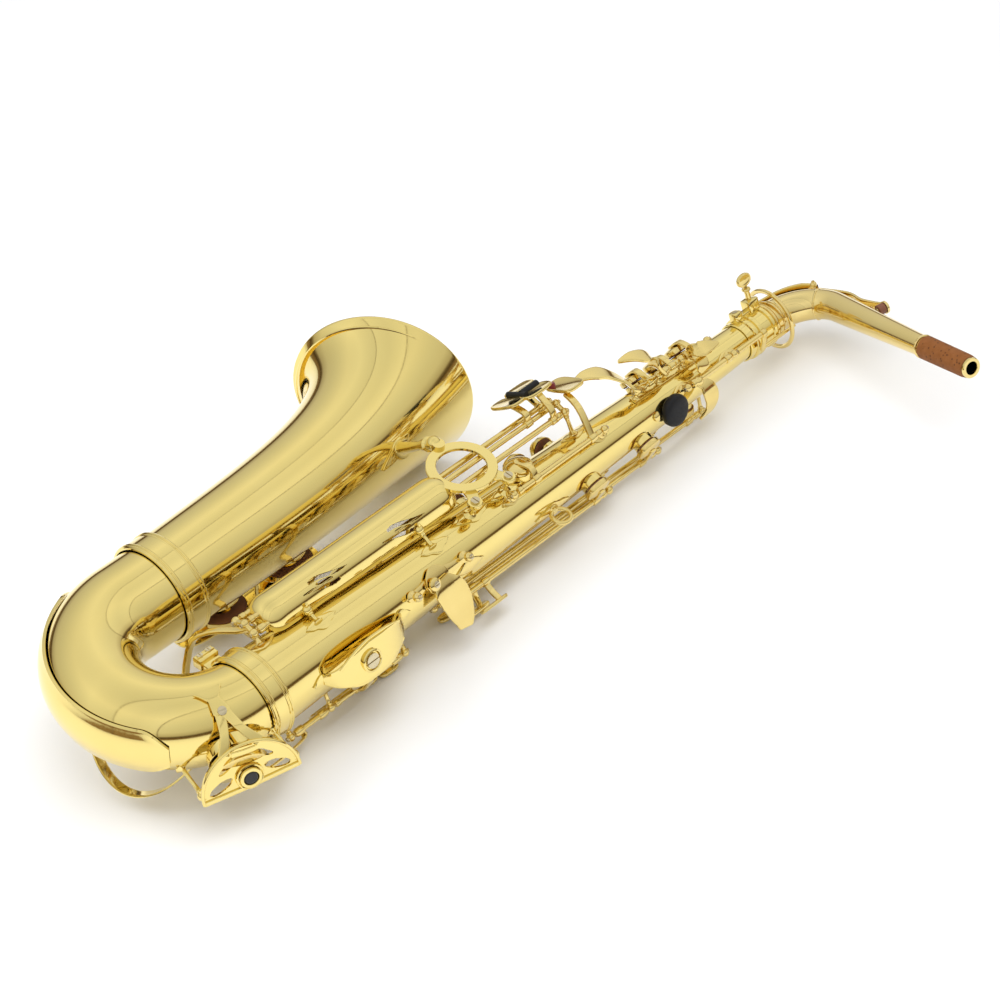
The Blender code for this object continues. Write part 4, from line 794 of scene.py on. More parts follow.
keys = {
    "key_d": {"line": "lower_stack", "span": (73.6, 102.4), "arm": 88, "open": 9, "pearl": True},
    "key_e": {"line": "lower_stack", "span": (109.6, 139.4), "arm": 126, "open": 9, "pearl": True},
    "key_f": {"line": "lower_stack", "span": (146.6, 174.4), "arm": 162, "open": 9, "pearl": True},
    "key_fsharp": {"line": "lower_stack", "span": (181.6, 200.9), "arm": 194, "open": 9},
    "key_g": {"line": "upper_stack", "span": (216.6, 237.4), "arm": 226, "open": 9},
    "key_a": {"line": "upper_stack", "span": (244.6, 267.4), "arm": 258, "open": 9, "pearl": True},
    "key_b": {"line": "upper_stack", "span": (274.6, 294.4), "arm": 286, "open": 9, "pearl": True},
    "key_c": {"line": "upper_stack", "span": (301.6, 320.4), "arm": 312, "open": 9, "pearl": True},
    "side_bb": {"line": "side_bb", "span": (181.6, 322.4), "arm": 312, "open": 0, "side": (196, 220, 24)},
    "side_c": {"line": "side_c", "span": (175.6, 380.4), "arm": 367, "open": 0, "side": (190, 240, 26)},
    "high_e": {"line": "high_e", "span": (169.6, 436.4), "arm": 425, "open": 0, "side": (184, 260, 26)},
    "g_sharp": {"line": "g_sharp", "span": (243.6, 326.4), "arm": 262, "open": 0},
    "palm_d": {"line": "palm", "span": (379.6, 396.4), "arm": 391, "open": 0},
    "palm_eb": {"line": "palm", "span": (403.6, 420.4), "arm": 414, "open": 0},
    "palm_f": {"line": "palm", "span": (427.6, 448.4), "arm": 438, "open": 0},
    "low_eb": {"line": "low_keys", "span": (63.6, 124.4), "arm": 84, "open": 0, "low": (118, 118)},
    "low_c": {"line": "low_keys", "span": (27.6, 56.4), "arm": 32, "rise": 7, "open": 8, "low": (52, 100)},
    "low_csharp": {"line": "table_csharp", "span": (30.6, 314.4), "arm": 34, "open": 0},
    "low_b": {"line": "table_b", "span": (30.6, 314.4), "arm": None, "open": 4},
    "low_bb": {"line": "table_bb", "span": (30.6, 314.4), "arm": None, "open": 4},
}
separatePads = ("g_sharp", "side_bb", "side_c", "low_c")


def padBase(name):
    centre, direction = holeAxis(name)
    return centre + direction * (chimney + padLift), direction, holeRadius(name) + 1.6


def keyCup(name):
    centre, direction, radius = padBase(name)
    low, edge = padThickness + gap, radius + 0.8
    shellProfile = [
        (edge - 0.55, 0.9), (edge, 1.0), (edge, low + 0.5), (edge * 0.975, low + 0.95),
        (edge * 0.92, low + 1.2),
        (edge * 0.75, low + 1.75), (edge * 0.5, low + 2.3), (edge * 0.3, low + 2.6), (edge * 0.26, low + 2.9),
        (edge * 0.16, low + 3.05), (0, low + 3.1), (0, low + 1.5), (edge * 0.6, low + 1.0), (edge - 0.7, low),
        (edge - 0.55, 0.9),
    ]
    resonator = [(0, -0.45), (radius * 0.2, -0.42), (radius * 0.42, -0.2), (radius * 0.46, 0.1), (0, 0.1)]
    return [turned(shellProfile, centre, direction, 48), turned(resonator, centre, direction, 32)]


def keyPad(name):
    centre, direction, radius = padBase(name)
    top = padThickness + gap
    profile = [(0, 0), (radius - 0.7, 0), (radius - 0.1, 0.35), (radius, 0.9), (radius, top), (0, top)]
    return turned(profile, centre, direction, 48)


def collarOn(line, x, length=6.0, radius=2.9):
    low = Vector(hingePoint(line, x - length / 2))
    profile = [(1.2, 0), (radius - 0.3, 0), (radius, 0.4), (radius, length - 0.4), (radius - 0.3, length)]
    return turned(profile + [(1.2, length), (1.2, 0)], low, xAxis, 24)


def cupArm(name, line, xArm, rise):
    centre, direction, radius = padBase(name)
    top = centre + direction * (padThickness + gap + 2.5)
    hinge = hingePoint(line, xArm)
    towards = hinge - top
    towards = towards - direction * towards.dot(direction)
    across = direction.cross(towards.normalized())
    inner = top - towards.normalized() * min(radius * 0.3, 3)
    elbow = top + towards.normalized() * min(radius + 2.4, towards.length - 1)
    route = [inner + direction * 0.5, top + direction * 0.4, elbow + direction * 0.2]
    if rise:
        route.append(hinge + outward(hingeLines[line][0]) * rise)
    route.append(hinge)
    return [strap(route, [4.0, 6.4, 4.6, 5.0], 2.0, across), collarOn(line, xArm)]


def bellArm(name, line, xArm):
    centre, _, _ = padBase(name)
    top = centre - zAxis * (padThickness + gap + 2.4)
    gapY = bend["spacing"] / 2
    route = [
        hingePoint(line, xArm), Vector((xArm, tube["footRadius"] + 2.5, 19.5)),
        Vector(((xArm + centre.x) / 2, gapY, 8)), Vector((centre.x, gapY, top.z)), top,
    ]
    return [strap(route, 5.2, 2.8, xAxis, 6), collarOn(line, xArm)]


def dishedTouch(outline, thickness, centre, normal, along):
    # a finger plate with a rolled edge and a slight dish
    bm = bmesh.new()
    face = bm.faces.new([bm.verts.new((x, y, 0)) for x, y in outline])
    made = bmesh.ops.extrude_face_region(bm, geom=[face])["geom"]
    topVerts = [item for item in made if isinstance(item, bmesh.types.BMVert)]
    bmesh.ops.translate(bm, vec=(0, 0, thickness), verts=topVerts)
    rims = [e for e in bm.edges if abs(e.verts[0].co.z - e.verts[1].co.z) < 1e-6]
    bmesh.ops.bevel(bm, geom=rims, offset=0.7, offset_type="OFFSET", segments=3, profile=0.5, affect="EDGES",
                    clamp_overlap=True, material=-1)
    topFace = [f for f in bm.faces if f.calc_center_median().z > thickness - 1e-4]
    bmesh.ops.inset_region(bm, faces=topFace, thickness=1.0, depth=-0.35, use_even_offset=True)
    bmesh.ops.recalc_face_normals(bm, faces=bm.faces)
    return place(bm, facing(normal, along), centre)


def sideTouch(line, x, phi, length):
    centre = onBody(x, phi, 21.5)
    touch = dishedTouch(ovalOutline(length, 8.4, 3.2), 2.4, centre, outward(phi), xAxis)
    root = hingePoint(line, x + 6)
    foot = centre + Vector((6, 0, 0)) + outward(phi)
    middle = (root + foot) / 2 + outward(phi + 90) * 1.2
    return [touch, strap([root, middle, foot], 4.4, 2.2, xAxis), collarOn(line, x + 6)]


def tableTouch(line, x, y, z, length, width, power=3.0):
    centre = Vector((x, y, z))
    normal = outward(60)
    touch = dishedTouch(ovalOutline(length, width, power), 2.4, centre, normal, xAxis)
    root = hingePoint(line, x)
    knee = [root + Vector((0, 2, 7.5))] if z > root.z + 6 else []
    route = [root] + knee + [centre + normal]
    return [touch, strap(route, 5, 2.4, xAxis), collarOn(line, x)]


def palmTouch(xArm, points, widths, across):
    # one flowing strap from the tube, widening into a leaf with a pointed tip
    route = [hingePoint("palm", xArm)] + [Vector(spot) for spot in points]
    return [strap(route, widths, 2.4, Vector(across), 9, 28), collarOn("palm", xArm)]


def lowTouch(xArm, xTouch):
    root = hingePoint("low_keys", xArm)
    elbow = onBody(20, 258, 20)
    elbow.x = xArm
    reach = elbow.copy()
    reach.x = xTouch
    parts = [
        strap([root, (root + elbow) / 2 + outward(258), elbow], 5, 2.4, xAxis), collarOn("low_keys", xArm)
    ]
    if xTouch > xArm:
        parts.append(rod(elbow, reach, 1.7))
    parts.append(dishedTouch(ovalOutline(17, 12.5, 3.4), 2.4, reach, outward(262), xAxis))
    return parts


def extraParts(name, key):
    if "side" in key:
        return sideTouch(key["line"], *key["side"])
    if "low" in key:
        return lowTouch(*key["low"])
    if name == "low_csharp":
        return tableTouch("table_csharp", 307, 29, 49, 25, 15)
    if name == "low_b":
        return tableTouch("table_b", 290, 38, 44, 17, 28)
    if name == "low_bb":
        return tableTouch("table_bb", 311, 47, 39, 24, 14)
    if name == "g_sharp":
        knee = Vector((318, 17, 43.5))
        touch = dishedTouch(ovalOutline(19, 27, 3.4), 2.6, knee + Vector((12.5, 7, -1.4)), outward(66), xAxis)
        route = [hingePoint("g_sharp", 318), Vector((320, 2, 42)), knee + Vector((6, 0, 0))]
        return [strap(route, 5, 2.4, xAxis), touch, collarOn("g_sharp", 318)]
    if name == "palm_d":
        points = [(372, -4, 30), (369, 6, 34.5), (362, 17, 38.5), (352, 23.5, 39.5), (341, 26, 38)]
        return palmTouch(382, points, [5, 7, 9, 13, 14, 9, 1.2], (0.1, 1, 0.0))
    if name == "palm_eb":
        points = [(398, -6, 31), (394, -3, 37), (393, 3, 42), (384, 9.5, 44.5), (373, 13.4, 44)]
        return palmTouch(406, points, [6, 8, 11, 14, 15, 9, 1.2], (0.1, 1, 0.05))
    if name == "palm_f":
        points = [(430, -4, 31), (432, -9, 32), (440, -11, 31.5), (450, -12, 29)]
        second = [onBody(431, 99, 8.5), onBody(433, 111, 11.0), onBody(431, 122, 10.5), onBody(427, 131, 8.5)]
        return palmTouch(431, points, [5, 6, 9, 12, 8, 2], (0, 1, 0.5)) + [
            strap(second, [5, 10, 13, 3], 2.0, xAxis, 8, 24)
        ]
    return []


def liftOf(name, key, xArm):
    # an open key rests turned this far off its hole
    centre, direction, _ = padBase(name)
    pivot = hingePoint(key["line"], 0)
    way = 1 if xAxis.cross(centre - hingePoint(key["line"], xArm)).dot(direction) > 0 else -1
    swing = Matrix.Rotation(math.radians(key["open"] * way), 4, "X")
    return Matrix.Translation(pivot) @ swing @ Matrix.Translation(-pivot)


for name, key in keys.items():
    line = key["line"]
    xArm = key["arm"] or padBase(name)[0].x
    node = name if name.startswith("key_") else name + "_key"
    lift = liftOf(name, key, xArm)
    parts = keyCup(name)
    if line in tableLines:
        parts += bellArm(name, line, xArm)
    else:
        parts += cupArm(name, line, xArm, key.get("rise", 0))
    first, last = key["span"]
    parts.append(rod(hingePoint(line, first), hingePoint(line, last), hingeRadius))
    for x in (first + 2.2, last - 2.2):
        parts.append(collarOn(line, x, 4.0, 2.5))
    parts += extraParts(name, key)
    pearl = None
    if key.get("pearl"):
        centre, direction, radius = padBase(name)
        top = centre + direction * (padThickness + gap + 2.4)
        cupSize = min(radius * 0.62, 7.6)
        holder = [
            (0, 0), (cupSize - 1, 0), (cupSize, 0.5), (cupSize, 3.2), (cupSize - 0.6, 3.2),
            (cupSize - 0.6, 2.0)
        ]
        parts.append(turned(holder + [(0, 2.0)], top, direction, 40))
        dish = [(0, 2.1), (cupSize - 0.7, 2.1), (cupSize - 0.7, 3.0), (cupSize * 0.6, 2.9), (0, 2.6)]
        pearl = turned(dish, top, direction, 40)
    keyMesh = gather(parts)
    bmesh.ops.transform(keyMesh, matrix=lift, verts=keyMesh.verts)
    body = name
    finishPiece(camel(node), keyMesh, keyLacquer, body, [node])
    padMesh = keyPad(name)
    bmesh.ops.transform(padMesh, matrix=lift, verts=padMesh.verts)
    finishPiece(
        camel(name) + "Pad", padMesh, padLeather, body, [name + "_pad"] if name in separatePads else [],
    )
    if pearl:
        bmesh.ops.transform(pearl, matrix=lift, verts=pearl.verts)
        finishPiece(camel(name) + "Pearl", pearl, ivoryTip, body)
print("keys made")

# capsule guard over the little-finger rods, with two pierced leaf shapes on its upper side

guard = {"x": (36.0, 211.0), "centre": (21.0, 28.0), "radius": 15.7, "wall": 1.2, "square": 2.5}


def guardPoint(x, angle, radius):
    # angle about x from straight towards the bell, 90 being up
    y, z = guard["centre"]
    low, high = guard["x"][0] + guard["radius"], guard["x"][1] - guard["radius"]
    ends = max(low - x, x - high, 0.0)
    shrink = max(1 - (ends / guard["radius"]) ** guard["square"], 0.0002) ** (1 / guard["square"])
    a = math.radians(angle)
    return Vector((x, y + radius * shrink * math.cos(a), z + radius * shrink * math.sin(a)))


guardCuts = ((87.0, 134.0), (157.0, 141.0))


def pierced(x, angle):
    # > 0 inside a cut: an S-shaped pair of slim blades round an open oval
    best = -9.0
    for middle, around in guardCuts:
        u = (x - middle) / 21.0
        v = (angle - around) * math.radians(guard["radius"]) / 7.0
        wave = 0.42 * math.sin(math.pi * u)
        outer = 1 - u * u
        if outer <= 0:
            continue
        upper = min(v - wave * 0.6 - 0.30 * outer, wave * 0.6 + 0.72 * outer - v)
        lower = min(wave * 0.6 - 0.30 * outer - v, v - wave * 0.6 + 0.72 * outer)
        blade = max(upper if u < 0.55 else -9, lower if u > -0.55 else -9)
        oval = 1 - ((u + 0.02) / 0.34) ** 2 - ((v - wave * 0.4) / 0.2) ** 2
        best = max(best, blade, oval * 0.3)
    return best


guardXs = []
x = guard["x"][0] + 0.02
while x < guard["x"][1]:
    guardXs.append(x)
    near = min(abs(x - middle) for middle, _ in guardCuts) < 22.5
    atEnd = min(x - guard["x"][0], guard["x"][1] - x) < 4
    x += 0.42 if near else (0.5 if atEnd else 1.6)
guardXs.append(guard["x"][1] - 0.02)
guardAngles = [i * 7.0 for i in range(15)] + [102 + 1.4 * i for i in range(56)] + [181.0]
bm = bmesh.new()
grid = [[bm.verts.new(guardPoint(x, a, guard["radius"])) for a in guardAngles] for x in guardXs]
for i in range(len(guardXs) - 1):
    for j in range(len(guardAngles) - 1):
        if pierced((guardXs[i] + guardXs[i + 1]) / 2, (guardAngles[j] + guardAngles[j + 1]) / 2) > 0:
            continue
        bm.faces.new((grid[i][j], grid[i][j + 1], grid[i + 1][j + 1], grid[i + 1][j]))
loose = [vert for vert in bm.verts if not vert.link_faces]
bmesh.ops.delete(bm, geom=loose, context="VERTS")
rims = [vert for vert in bm.verts if vert.is_boundary and 104 < math.degrees(
    math.atan2(vert.co.z - guard["centre"][1], vert.co.y - guard["centre"][0])) < 176]
for _ in range(3):
    moved = {}
    for vert in rims:
        others = [e.other_vert(vert).co for e in vert.link_edges if e.is_boundary]
        if len(others) == 2:
            moved[vert] = vert.co * 0.5 + (others[0] + others[1]) * 0.25
    for vert, co in moved.items():
        vert.co = co
bmesh.ops.recalc_face_normals(bm, faces=bm.faces)
bmesh.ops.solidify(bm, geom=list(bm.faces), thickness=guard["wall"])
guardParts = [bm]
knobPlaces = ((66.0, 100.0), (168.0, 106.0))
for x, phi in knobPlaces:
    foot = onBody(x, phi, 0.9)
    y, z = guard["centre"]
    knob = Vector((x, y - guard["radius"] + 0.2, z + 3))
    guardParts += turnedPost(foot, knob, 3.5, 3.6)
    guardParts.append(
        turned([(0, 0), (1.2, 0), (1.5, 1.2), (1.0, 2.4), (0, 2.8)], knob + zAxis * 2.9, zAxis, 20)
    )
    guardParts.append(leafOnBody(x + 2, phi, 26, 12, waist=0.25))
finishPiece("capsuleGuard", gather(guardParts), goldLacquer, "horn", ["stack_guard"])
print("capsule guard made")

# brace between body and bell

braceCentre = Vector((224, 20, 40.5))
bracePosts = [Vector((241, -6, 35.5)), Vector((207.5, -7.5, 36))]
braceEnd = Vector((229, 58, 27))
braceUp = Vector((0, -0.05, 1)).normalized()
braceProfile = [
    (17, -1.0), (17.3, -1.3), (23.7, -1.3), (24, -1.0), (24, 1.0), (23.7, 1.3), (17.3, 1.3), (17, 1.0)
]
braceParts = [turned(braceProfile + [(17, -1.0)], braceCentre, braceUp, 72)]
braceScrews = []
for head in bracePosts:
    towards = (head - braceCentre).normalized()
    start = braceCentre + towards * 20
    across = braceUp.cross(towards)
    braceParts.append(strap([start, (start + head) / 2, head + towards * 1], [11, 8, 9.5], 2.8, across, 4))
    braceParts.append(
        turned([(0, -1.6), (4.9, -1.6), (5.2, -1.2), (5.2, 1.5), (4.8, 1.9), (0, 1.9)], head, braceUp, 32)
    )
    base = onBody(head.x, 97, 0.9)
    braceParts += turnedPost(base, head + zAxis * -2, 3.4, 4.6)
    braceParts.append(leafOnBody(head.x + 2, 97, 30, 12, waist=0.2))
    braceScrews.append(screwHead(head + braceUp * 1.9, braceUp, 3.1, 1.5))
towards = braceEnd - braceCentre
towards = (towards - braceUp * towards.dot(braceUp)).normalized()
ballAt = braceCentre + towards * 29.0
braceParts.append(ball(ballAt, 5.3, 32))
braceParts.append(
    turned([(0, -3.6), (4.4, -3.6), (4.4, 3.6), (0, 3.6)], braceCentre + towards * 24.5, braceUp, 32)
)
station, direction, radius = bellStation(0.735)
footTurn = math.radians(16)
bellWay = zAxis.cross(direction) * -1
footOut = bellWay * math.cos(footTurn) + zAxis * math.sin(footTurn)
foot = station + footOut * (radius + 0.9)
footWay = (ballAt - foot).normalized()
footLength = (ballAt - foot).length
footProfile = [
    (0, -1), (7.6, -1), (7.8, 0.6), (5.6, 1.8), (4.2, 4.0), (3.4, footLength * 0.42),
    (3.0, footLength * 0.6)
]
footProfile += [
    (5.2, footLength - 8.6), (5.4, footLength - 7.8), (3.6, footLength - 6.8), (3.0, footLength - 4),
    (0, footLength)
]
braceParts.append(turned(footProfile, foot, footWay, 36))


def onBell(share, around, height):
    spot, way, size = bellStation(share)
    side = zAxis.cross(way) * -1
    a = math.radians(around)
    return spot + (side * math.cos(a) + zAxis * math.sin(a)) * (size + height)


leafRoute = [(0.775, 22), (0.755, 19), (0.735, 16), (0.70, 12), (0.665, 8)]
leafLine = [onBell(share, around, 0.8) for share, around in leafRoute]
braceParts.append(strap(leafLine, [1.5, 9, 12, 8, 1.2], 1.4, footOut.cross(direction), 8, 24))
finishPiece("bellBrace", gather(braceParts), goldLacquer, "horn", ["bell_brace"])
finishPiece("braceScrews", gather(braceScrews), screwSteel, "horn")

# strap ring, thumb rest, thumb hook

ringFoot = onBody(269, 186, 0.9)
out = outward(186)
side = out.cross(xAxis)
ringTube = []
for i in range(48):
    angle = 2 * math.pi * i / 48
    centre = ringFoot + out * 7.5 + xAxis * 6.6 * math.cos(angle) + out * 6.6 * math.sin(angle)
    tangentWay = out * math.cos(angle) - xAxis * math.sin(angle)
    ringTube.append((centre, facing(tangentWay, side), 1.6, 1.6))
ringParts = [swept(ringTube, 20, closed=True), leafOnBody(269, 186, 34, 10.5, waist=0.2)]
ringParts.append(turned([(0, 0), (4.4, 0), (4.2, 0.8), (2.6, 1.4), (2.4, 2.6), (0, 2.8)], ringFoot, out, 28))
finishPiece("strapRing", gather(ringParts), keyLacquer, "horn", ["strap_ring"])

restAt = onBody(397, 166, gap)
restProfile = [
    (0, 0), (9.4, 0), (10.9, 0.5), (11.5, 1.4), (11.7, 4.4), (11.3, 5.6), (10.2, 6.6), (8.2, 7.3),
    (5.0, 7.6), (0, 7.7),
]
finishPiece("thumbRest", turned(restProfile, restAt, outward(166), 64), blackGloss, "horn", ["thumb_rest"],
            sharp=50)
bump = gather(
    [turned([(0, 0), (3.6, 0), (3.4, 1.1), (2.2, 2.0), (0, 2.3)], onBody(382, 158, 0.2), outward(158), 28)]
)
finishPiece("thumbRestStud", bump, keyLacquer, "horn")

hookLine = [onBody(157, 150, 5.0), onBody(158, 163, 6.6), onBody(161, 178, 9.0), onBody(163, 192, 13.0)]
hookLine += [onBody(164, 203, 18.0), onBody(163, 209, 23.0)]
hookParts = [strap(hookLine, [13, 23, 25, 23, 18, 11], 2.0, xAxis, 7, 32)]
basePlate = [onBody(156, phi, 2.6) for phi in (128, 138, 150, 162, 172)]
hookParts.append(strap(basePlate, [5, 17, 21, 17, 5], 1.5, xAxis, 6, 28))
hookParts += [leafOnBody(158, 149, 62, 11, waist=0.2), leafOnBody(186, 168, 26, 9)]
hookScrews = []
for x, phi in ((133, 149), (183, 147)):
    hookParts += turnedPost(onBody(x, phi, 0.8), onBody(x, phi, 6.4), 3.3, 4.0)
    hookScrews.append(screwHead(onBody(x, phi, 8.9), outward(phi), 1.8, 0.9))
hookParts.append(
    turned([(0, 0), (4.6, 0), (4.4, 1.2), (3.0, 2.0), (0, 2.4)], onBody(150, 150, 5.4), outward(150), 32)
)
hookScrews.append(screwHead(onBody(150, 150, 7.4), outward(150), 2.4, 1.0))
finishPiece("thumbHook", gather(hookParts), keyLacquer, "horn", ["thumb_hook"])
finishPiece("hookScrews", gather(hookScrews), screwSteel, "horn")
print("brace, ring, rest and hook made")

# low C guard: a half-round face with pierced leaves, a raised edge, a felt bumper and a forked arm

cTurn, cAround = 22.0, 345.0
cLean, cRim = 24.0, 33.0
cFlatOut = bowOutward(cTurn, cAround)
cRun = (bowCentre(cTurn - 1) - bowCentre(cTurn + 1)).normalized()
cLeanTurn = Matrix.Rotation(math.radians(-cLean), 3, cRun)
if (cLeanTurn @ cFlatOut).z < cFlatOut.z:
    cLeanTurn = Matrix.Rotation(math.radians(cLean), 3, cRun)
cOut = cLeanTurn @ cFlatOut
cSpin = Matrix.Rotation(math.radians(7.0), 3, cOut)
cAlong = cSpin @ cRun
cSide = cOut.cross(cAlong)
cNut = onBow(cTurn, cAround) + cFlatOut * 18.0 + cRun * 4.0
cBase = cNut - cSide * 7.0


def cPoint(u, v, height=0.0):
    return cBase + cAlong * u + cSide * v + cOut * height


def faceCut(u, v):
    # > 0 inside a leaf-shaped opening of the face
    best = -9.0
    for sign in (1, -1):
        p, q = (u * sign - 19.0) / 8.4, (v - 7.0 + 0.30 * (u * sign - 19.0)) / 3.6
        best = max(best, 1 - p * p - q * q)
        p, q = (u * sign - 12.0) / 6.6, (v - 19.6 + 0.55 * (u * sign - 12.0)) / 2.7
        best = max(best, 1 - p * p - q * q)
    return best


bm = bmesh.new()
rings, steps = 52, 120
spread = []
for i in range(rings + 1):
    r = 1.0 + (cRim - 1.0) * i / rings
    spread.append([bm.verts.new((r * math.cos(math.pi * j / steps), r * math.sin(math.pi * j / steps), 0))
                   for j in range(steps + 1)])
for i in range(rings):
    for j in range(steps):
        quad = (spread[i][j], spread[i + 1][j], spread[i + 1][j + 1], spread[i][j + 1])
        middle = (quad[0].co + quad[1].co + quad[2].co + quad[3].co) / 4
        if faceCut(middle.x, middle.y) <= 0:
            bm.faces.new(quad)
hub = bm.verts.new((0, 0, 0))
for j in range(steps):
    bm.faces.new((hub, spread[0][j], spread[0][j + 1]))
bmesh.ops.delete(bm, geom=[vert for vert in bm.verts if not vert.link_faces], context="VERTS")
for _ in range(4):
    moved = {}
    for vert in bm.verts:
        if not vert.is_boundary or vert.co.length > cRim - 1.5 or vert.co.y < 0.8:
            continue
        others = [e.other_vert(vert).co for e in vert.link_edges if e.is_boundary]
        if len(others) == 2:
            moved[vert] = vert.co * 0.5 + (others[0] + others[1]) * 0.25
    for vert, co in moved.items():
        vert.co = co
bmesh.ops.recalc_face_normals(bm, faces=bm.faces)
bmesh.ops.solidify(bm, geom=list(bm.faces), thickness=1.5)
cParts = [place(bm, facing(cOut, cAlong), cBase)]
edgeLine = []
for i in range(61):
    a = math.pi * i / 60
    tangentWay = -cAlong * math.sin(a) + cSide * math.cos(a)
    rimSpot = cPoint((cRim - 0.6) * math.cos(a), (cRim - 0.6) * math.sin(a), 0.6)
    edgeLine.append((rimSpot, facing(tangentWay, cOut), 1.5, 1.1))
cParts.append(swept(edgeLine, 16))
cParts.append(
    strap([cPoint(-cRim + 1, 0, 0.2), cPoint(0, -0.6, 0.2), cPoint(cRim - 1, 0, 0.2)], 3.2, 1.8, cSide, 3)
)
nutProfile = [
    (4.5, -2.6), (7.3, -2.6), (7.6, -2.0), (7.6, 3.0), (7.1, 3.8), (6.2, 4.1), (5.2, 3.9), (4.6, 3.0),
    (4.5, -2.6)
]
cParts.append(turned(nutProfile, cNut, cOut, 48))
cParts.append(beadOn(cNut + cOut * 1.2, cOut, 8.6, 1.0, 48))
armTip = onBow(27, 79, 1.4)
armKnee = onBow(24, 49, 5.0)
for reach in (-12.0, 12.0):
    start = cPoint(reach, math.sqrt(cRim**2 - reach**2) - 1.5, 0.4)
    armWay = armKnee - start
    bowed = start + armWay * 0.5 + cOut * 3.0
    cParts.append(strap([start, bowed, armKnee + cRun * reach * 0.12], [7.5, 5.6, 7.0], 1.7, cRun, 8))
crossBar = cPoint(0, cRim - 4, 2.2)
cParts.append(
    strap(
        [crossBar - cRun * 8 + cOut, crossBar + cOut * 1.5, crossBar + cRun * 8 + cOut], 3.4, 1.6, cSide, 4
    )
)
tailRoute = [armKnee - (armTip - armKnee) * 0.12, armKnee, onBow(25.5, 64, 2.6), armTip]
cParts.append(strap(tailRoute, [8, 12, 8, 20], 1.7, cRun, 8, 28))
cScrews = [screwHead(armKnee + bowOutward(24, 49) * 1.0, bowOutward(24, 49), 3.0, 1.1)]
for reach, spot in ((cRim - 2, onBow(2, 349, -0.4)), (2 - cRim, onBow(44, 332, -0.4))):
    head = cPoint(reach, 4.5, -3.2)
    cParts += turnedPost(spot, head, 3.5, 4.2)
    cParts.append(turned([(0, 0), (1.5, 0.2), (1.3, 1.6), (0, 2.2)], head + cSide * 3.0, cSide, 20))
finishPiece("lowCGuard", gather(cParts), goldLacquer, "horn", ["low_c_guard"])
felt = turned([(0, -1.8), (4.4, -1.8), (4.4, 3.0), (3.8, 3.5), (0, 3.6)], cNut, cOut, 36)
finishPiece("lowCFelt", felt, blackFelt, "horn")
finishPiece("lowCScrews", gather(cScrews), screwSteel, "horn")
print("low C guard made")

# low E-flat guard: a wide arched plate with a bumper cup and a big slotted screw

ebRoute = [
    (47, 171, 1.0), (54, 169, 10.0), (65, 166, 15.2), (78, 164, 16.8), (94, 163.5, 16.0), (109, 164, 10.6),
    (119, 165, 1.0),
]
ebLine = [onBody(*spot) for spot in ebRoute]
ebOut = outward(164)
ebParts = [strap(ebLine, [7, 15, 23, 26, 23, 15, 7], 1.6, ebOut.cross(xAxis), 8, 32)]
ebTop = onBody(75, 164, 16.8)
cupProfile = [
    (0, -1.6), (7.6, -1.6), (7.9, -1.0), (7.9, 1.9), (7.4, 2.5), (6.7, 2.7), (6.2, 2.2), (6.0, 1.0),
    (0, 0.9)
]
ebParts.append(turned(cupProfile, ebTop, ebOut, 48))
for sign in (1, -1):
    edge = [
        onBody(x, phi + sign * wide, h + 0.9) for (x, phi, h),
        wide in zip(ebRoute[1:6], (9, 16, 17.5, 16, 10))
    ]
    ebParts.append(strap(edge, 2.2, 1.8, ebOut.cross(xAxis), 8, 16))
ebParts += [leafOnBody(x, phi, 16, 10) for x, phi in ((46, 171), (120, 165))]
finishPiece("lowEFlatGuard", gather(ebParts), goldLacquer, "horn", ["low_eb_guard"])
finishPiece("lowEFlatScrew", screwHead(ebTop + ebOut * 0.9, ebOut, 5.2, 1.9), screwSteel, "horn")

# guards on the bell's right side and under the bow

guardMiddle, guardY, guardZ = 112.0, bend["spacing"] + 3.0, -58.0
plateParts = [
    plate(ovalOutline(128, 30, 3.6, 72), 1.6, Vector((guardMiddle, guardY, guardZ)), -zAxis, xAxis, 0.5)
]
for x in (79.6, 137.6):
    plateParts.append(turned(cupProfile, Vector((x, guardY, guardZ - 1.2)), -zAxis, 40))
guardScrews = []
for x, offset in ((56.0, 0.0), (111.0, 13.0), (111.0, -13.0), (168.0, 0.0)):
    centre, _, radius = bellStation((x - bell["jointX"]) / (bell["rimX"] - bell["jointX"]))
    lift = guardY + offset - centre.y
    depth = math.sqrt((radius + 0.9) ** 2 - lift**2)
    foot = Vector((x, guardY + offset, -depth + 0.3))
    plateParts += turnedPost(foot, Vector((x, guardY + offset, guardZ + 2.0)), 3.0, 4.4)
    guardScrews.append(screwHead(Vector((x, guardY + offset, guardZ - 1.5)), -zAxis, 2.4, 0.9))
finishPiece("bellKeyGuard", gather(plateParts), goldLacquer, "horn", ["bell_key_guard"])
finishPiece("bellGuardScrews", gather(guardScrews), screwSteel, "horn")

loopLine = [onBow(40 + 60 * i / 12, 292, 2.4 + 20.4 * math.sin(math.pi * i / 12)) for i in range(13)]
loopGuard = strap(loopLine, 9.4, 1.6, bowOutward(70, 22), 4, 28)
finishPiece("bowLoopGuard", loopGuard, goldLacquer, "horn", ["bow_loop_guard"])
print("guards made")

# neck receiver with its clamp and thumb screw

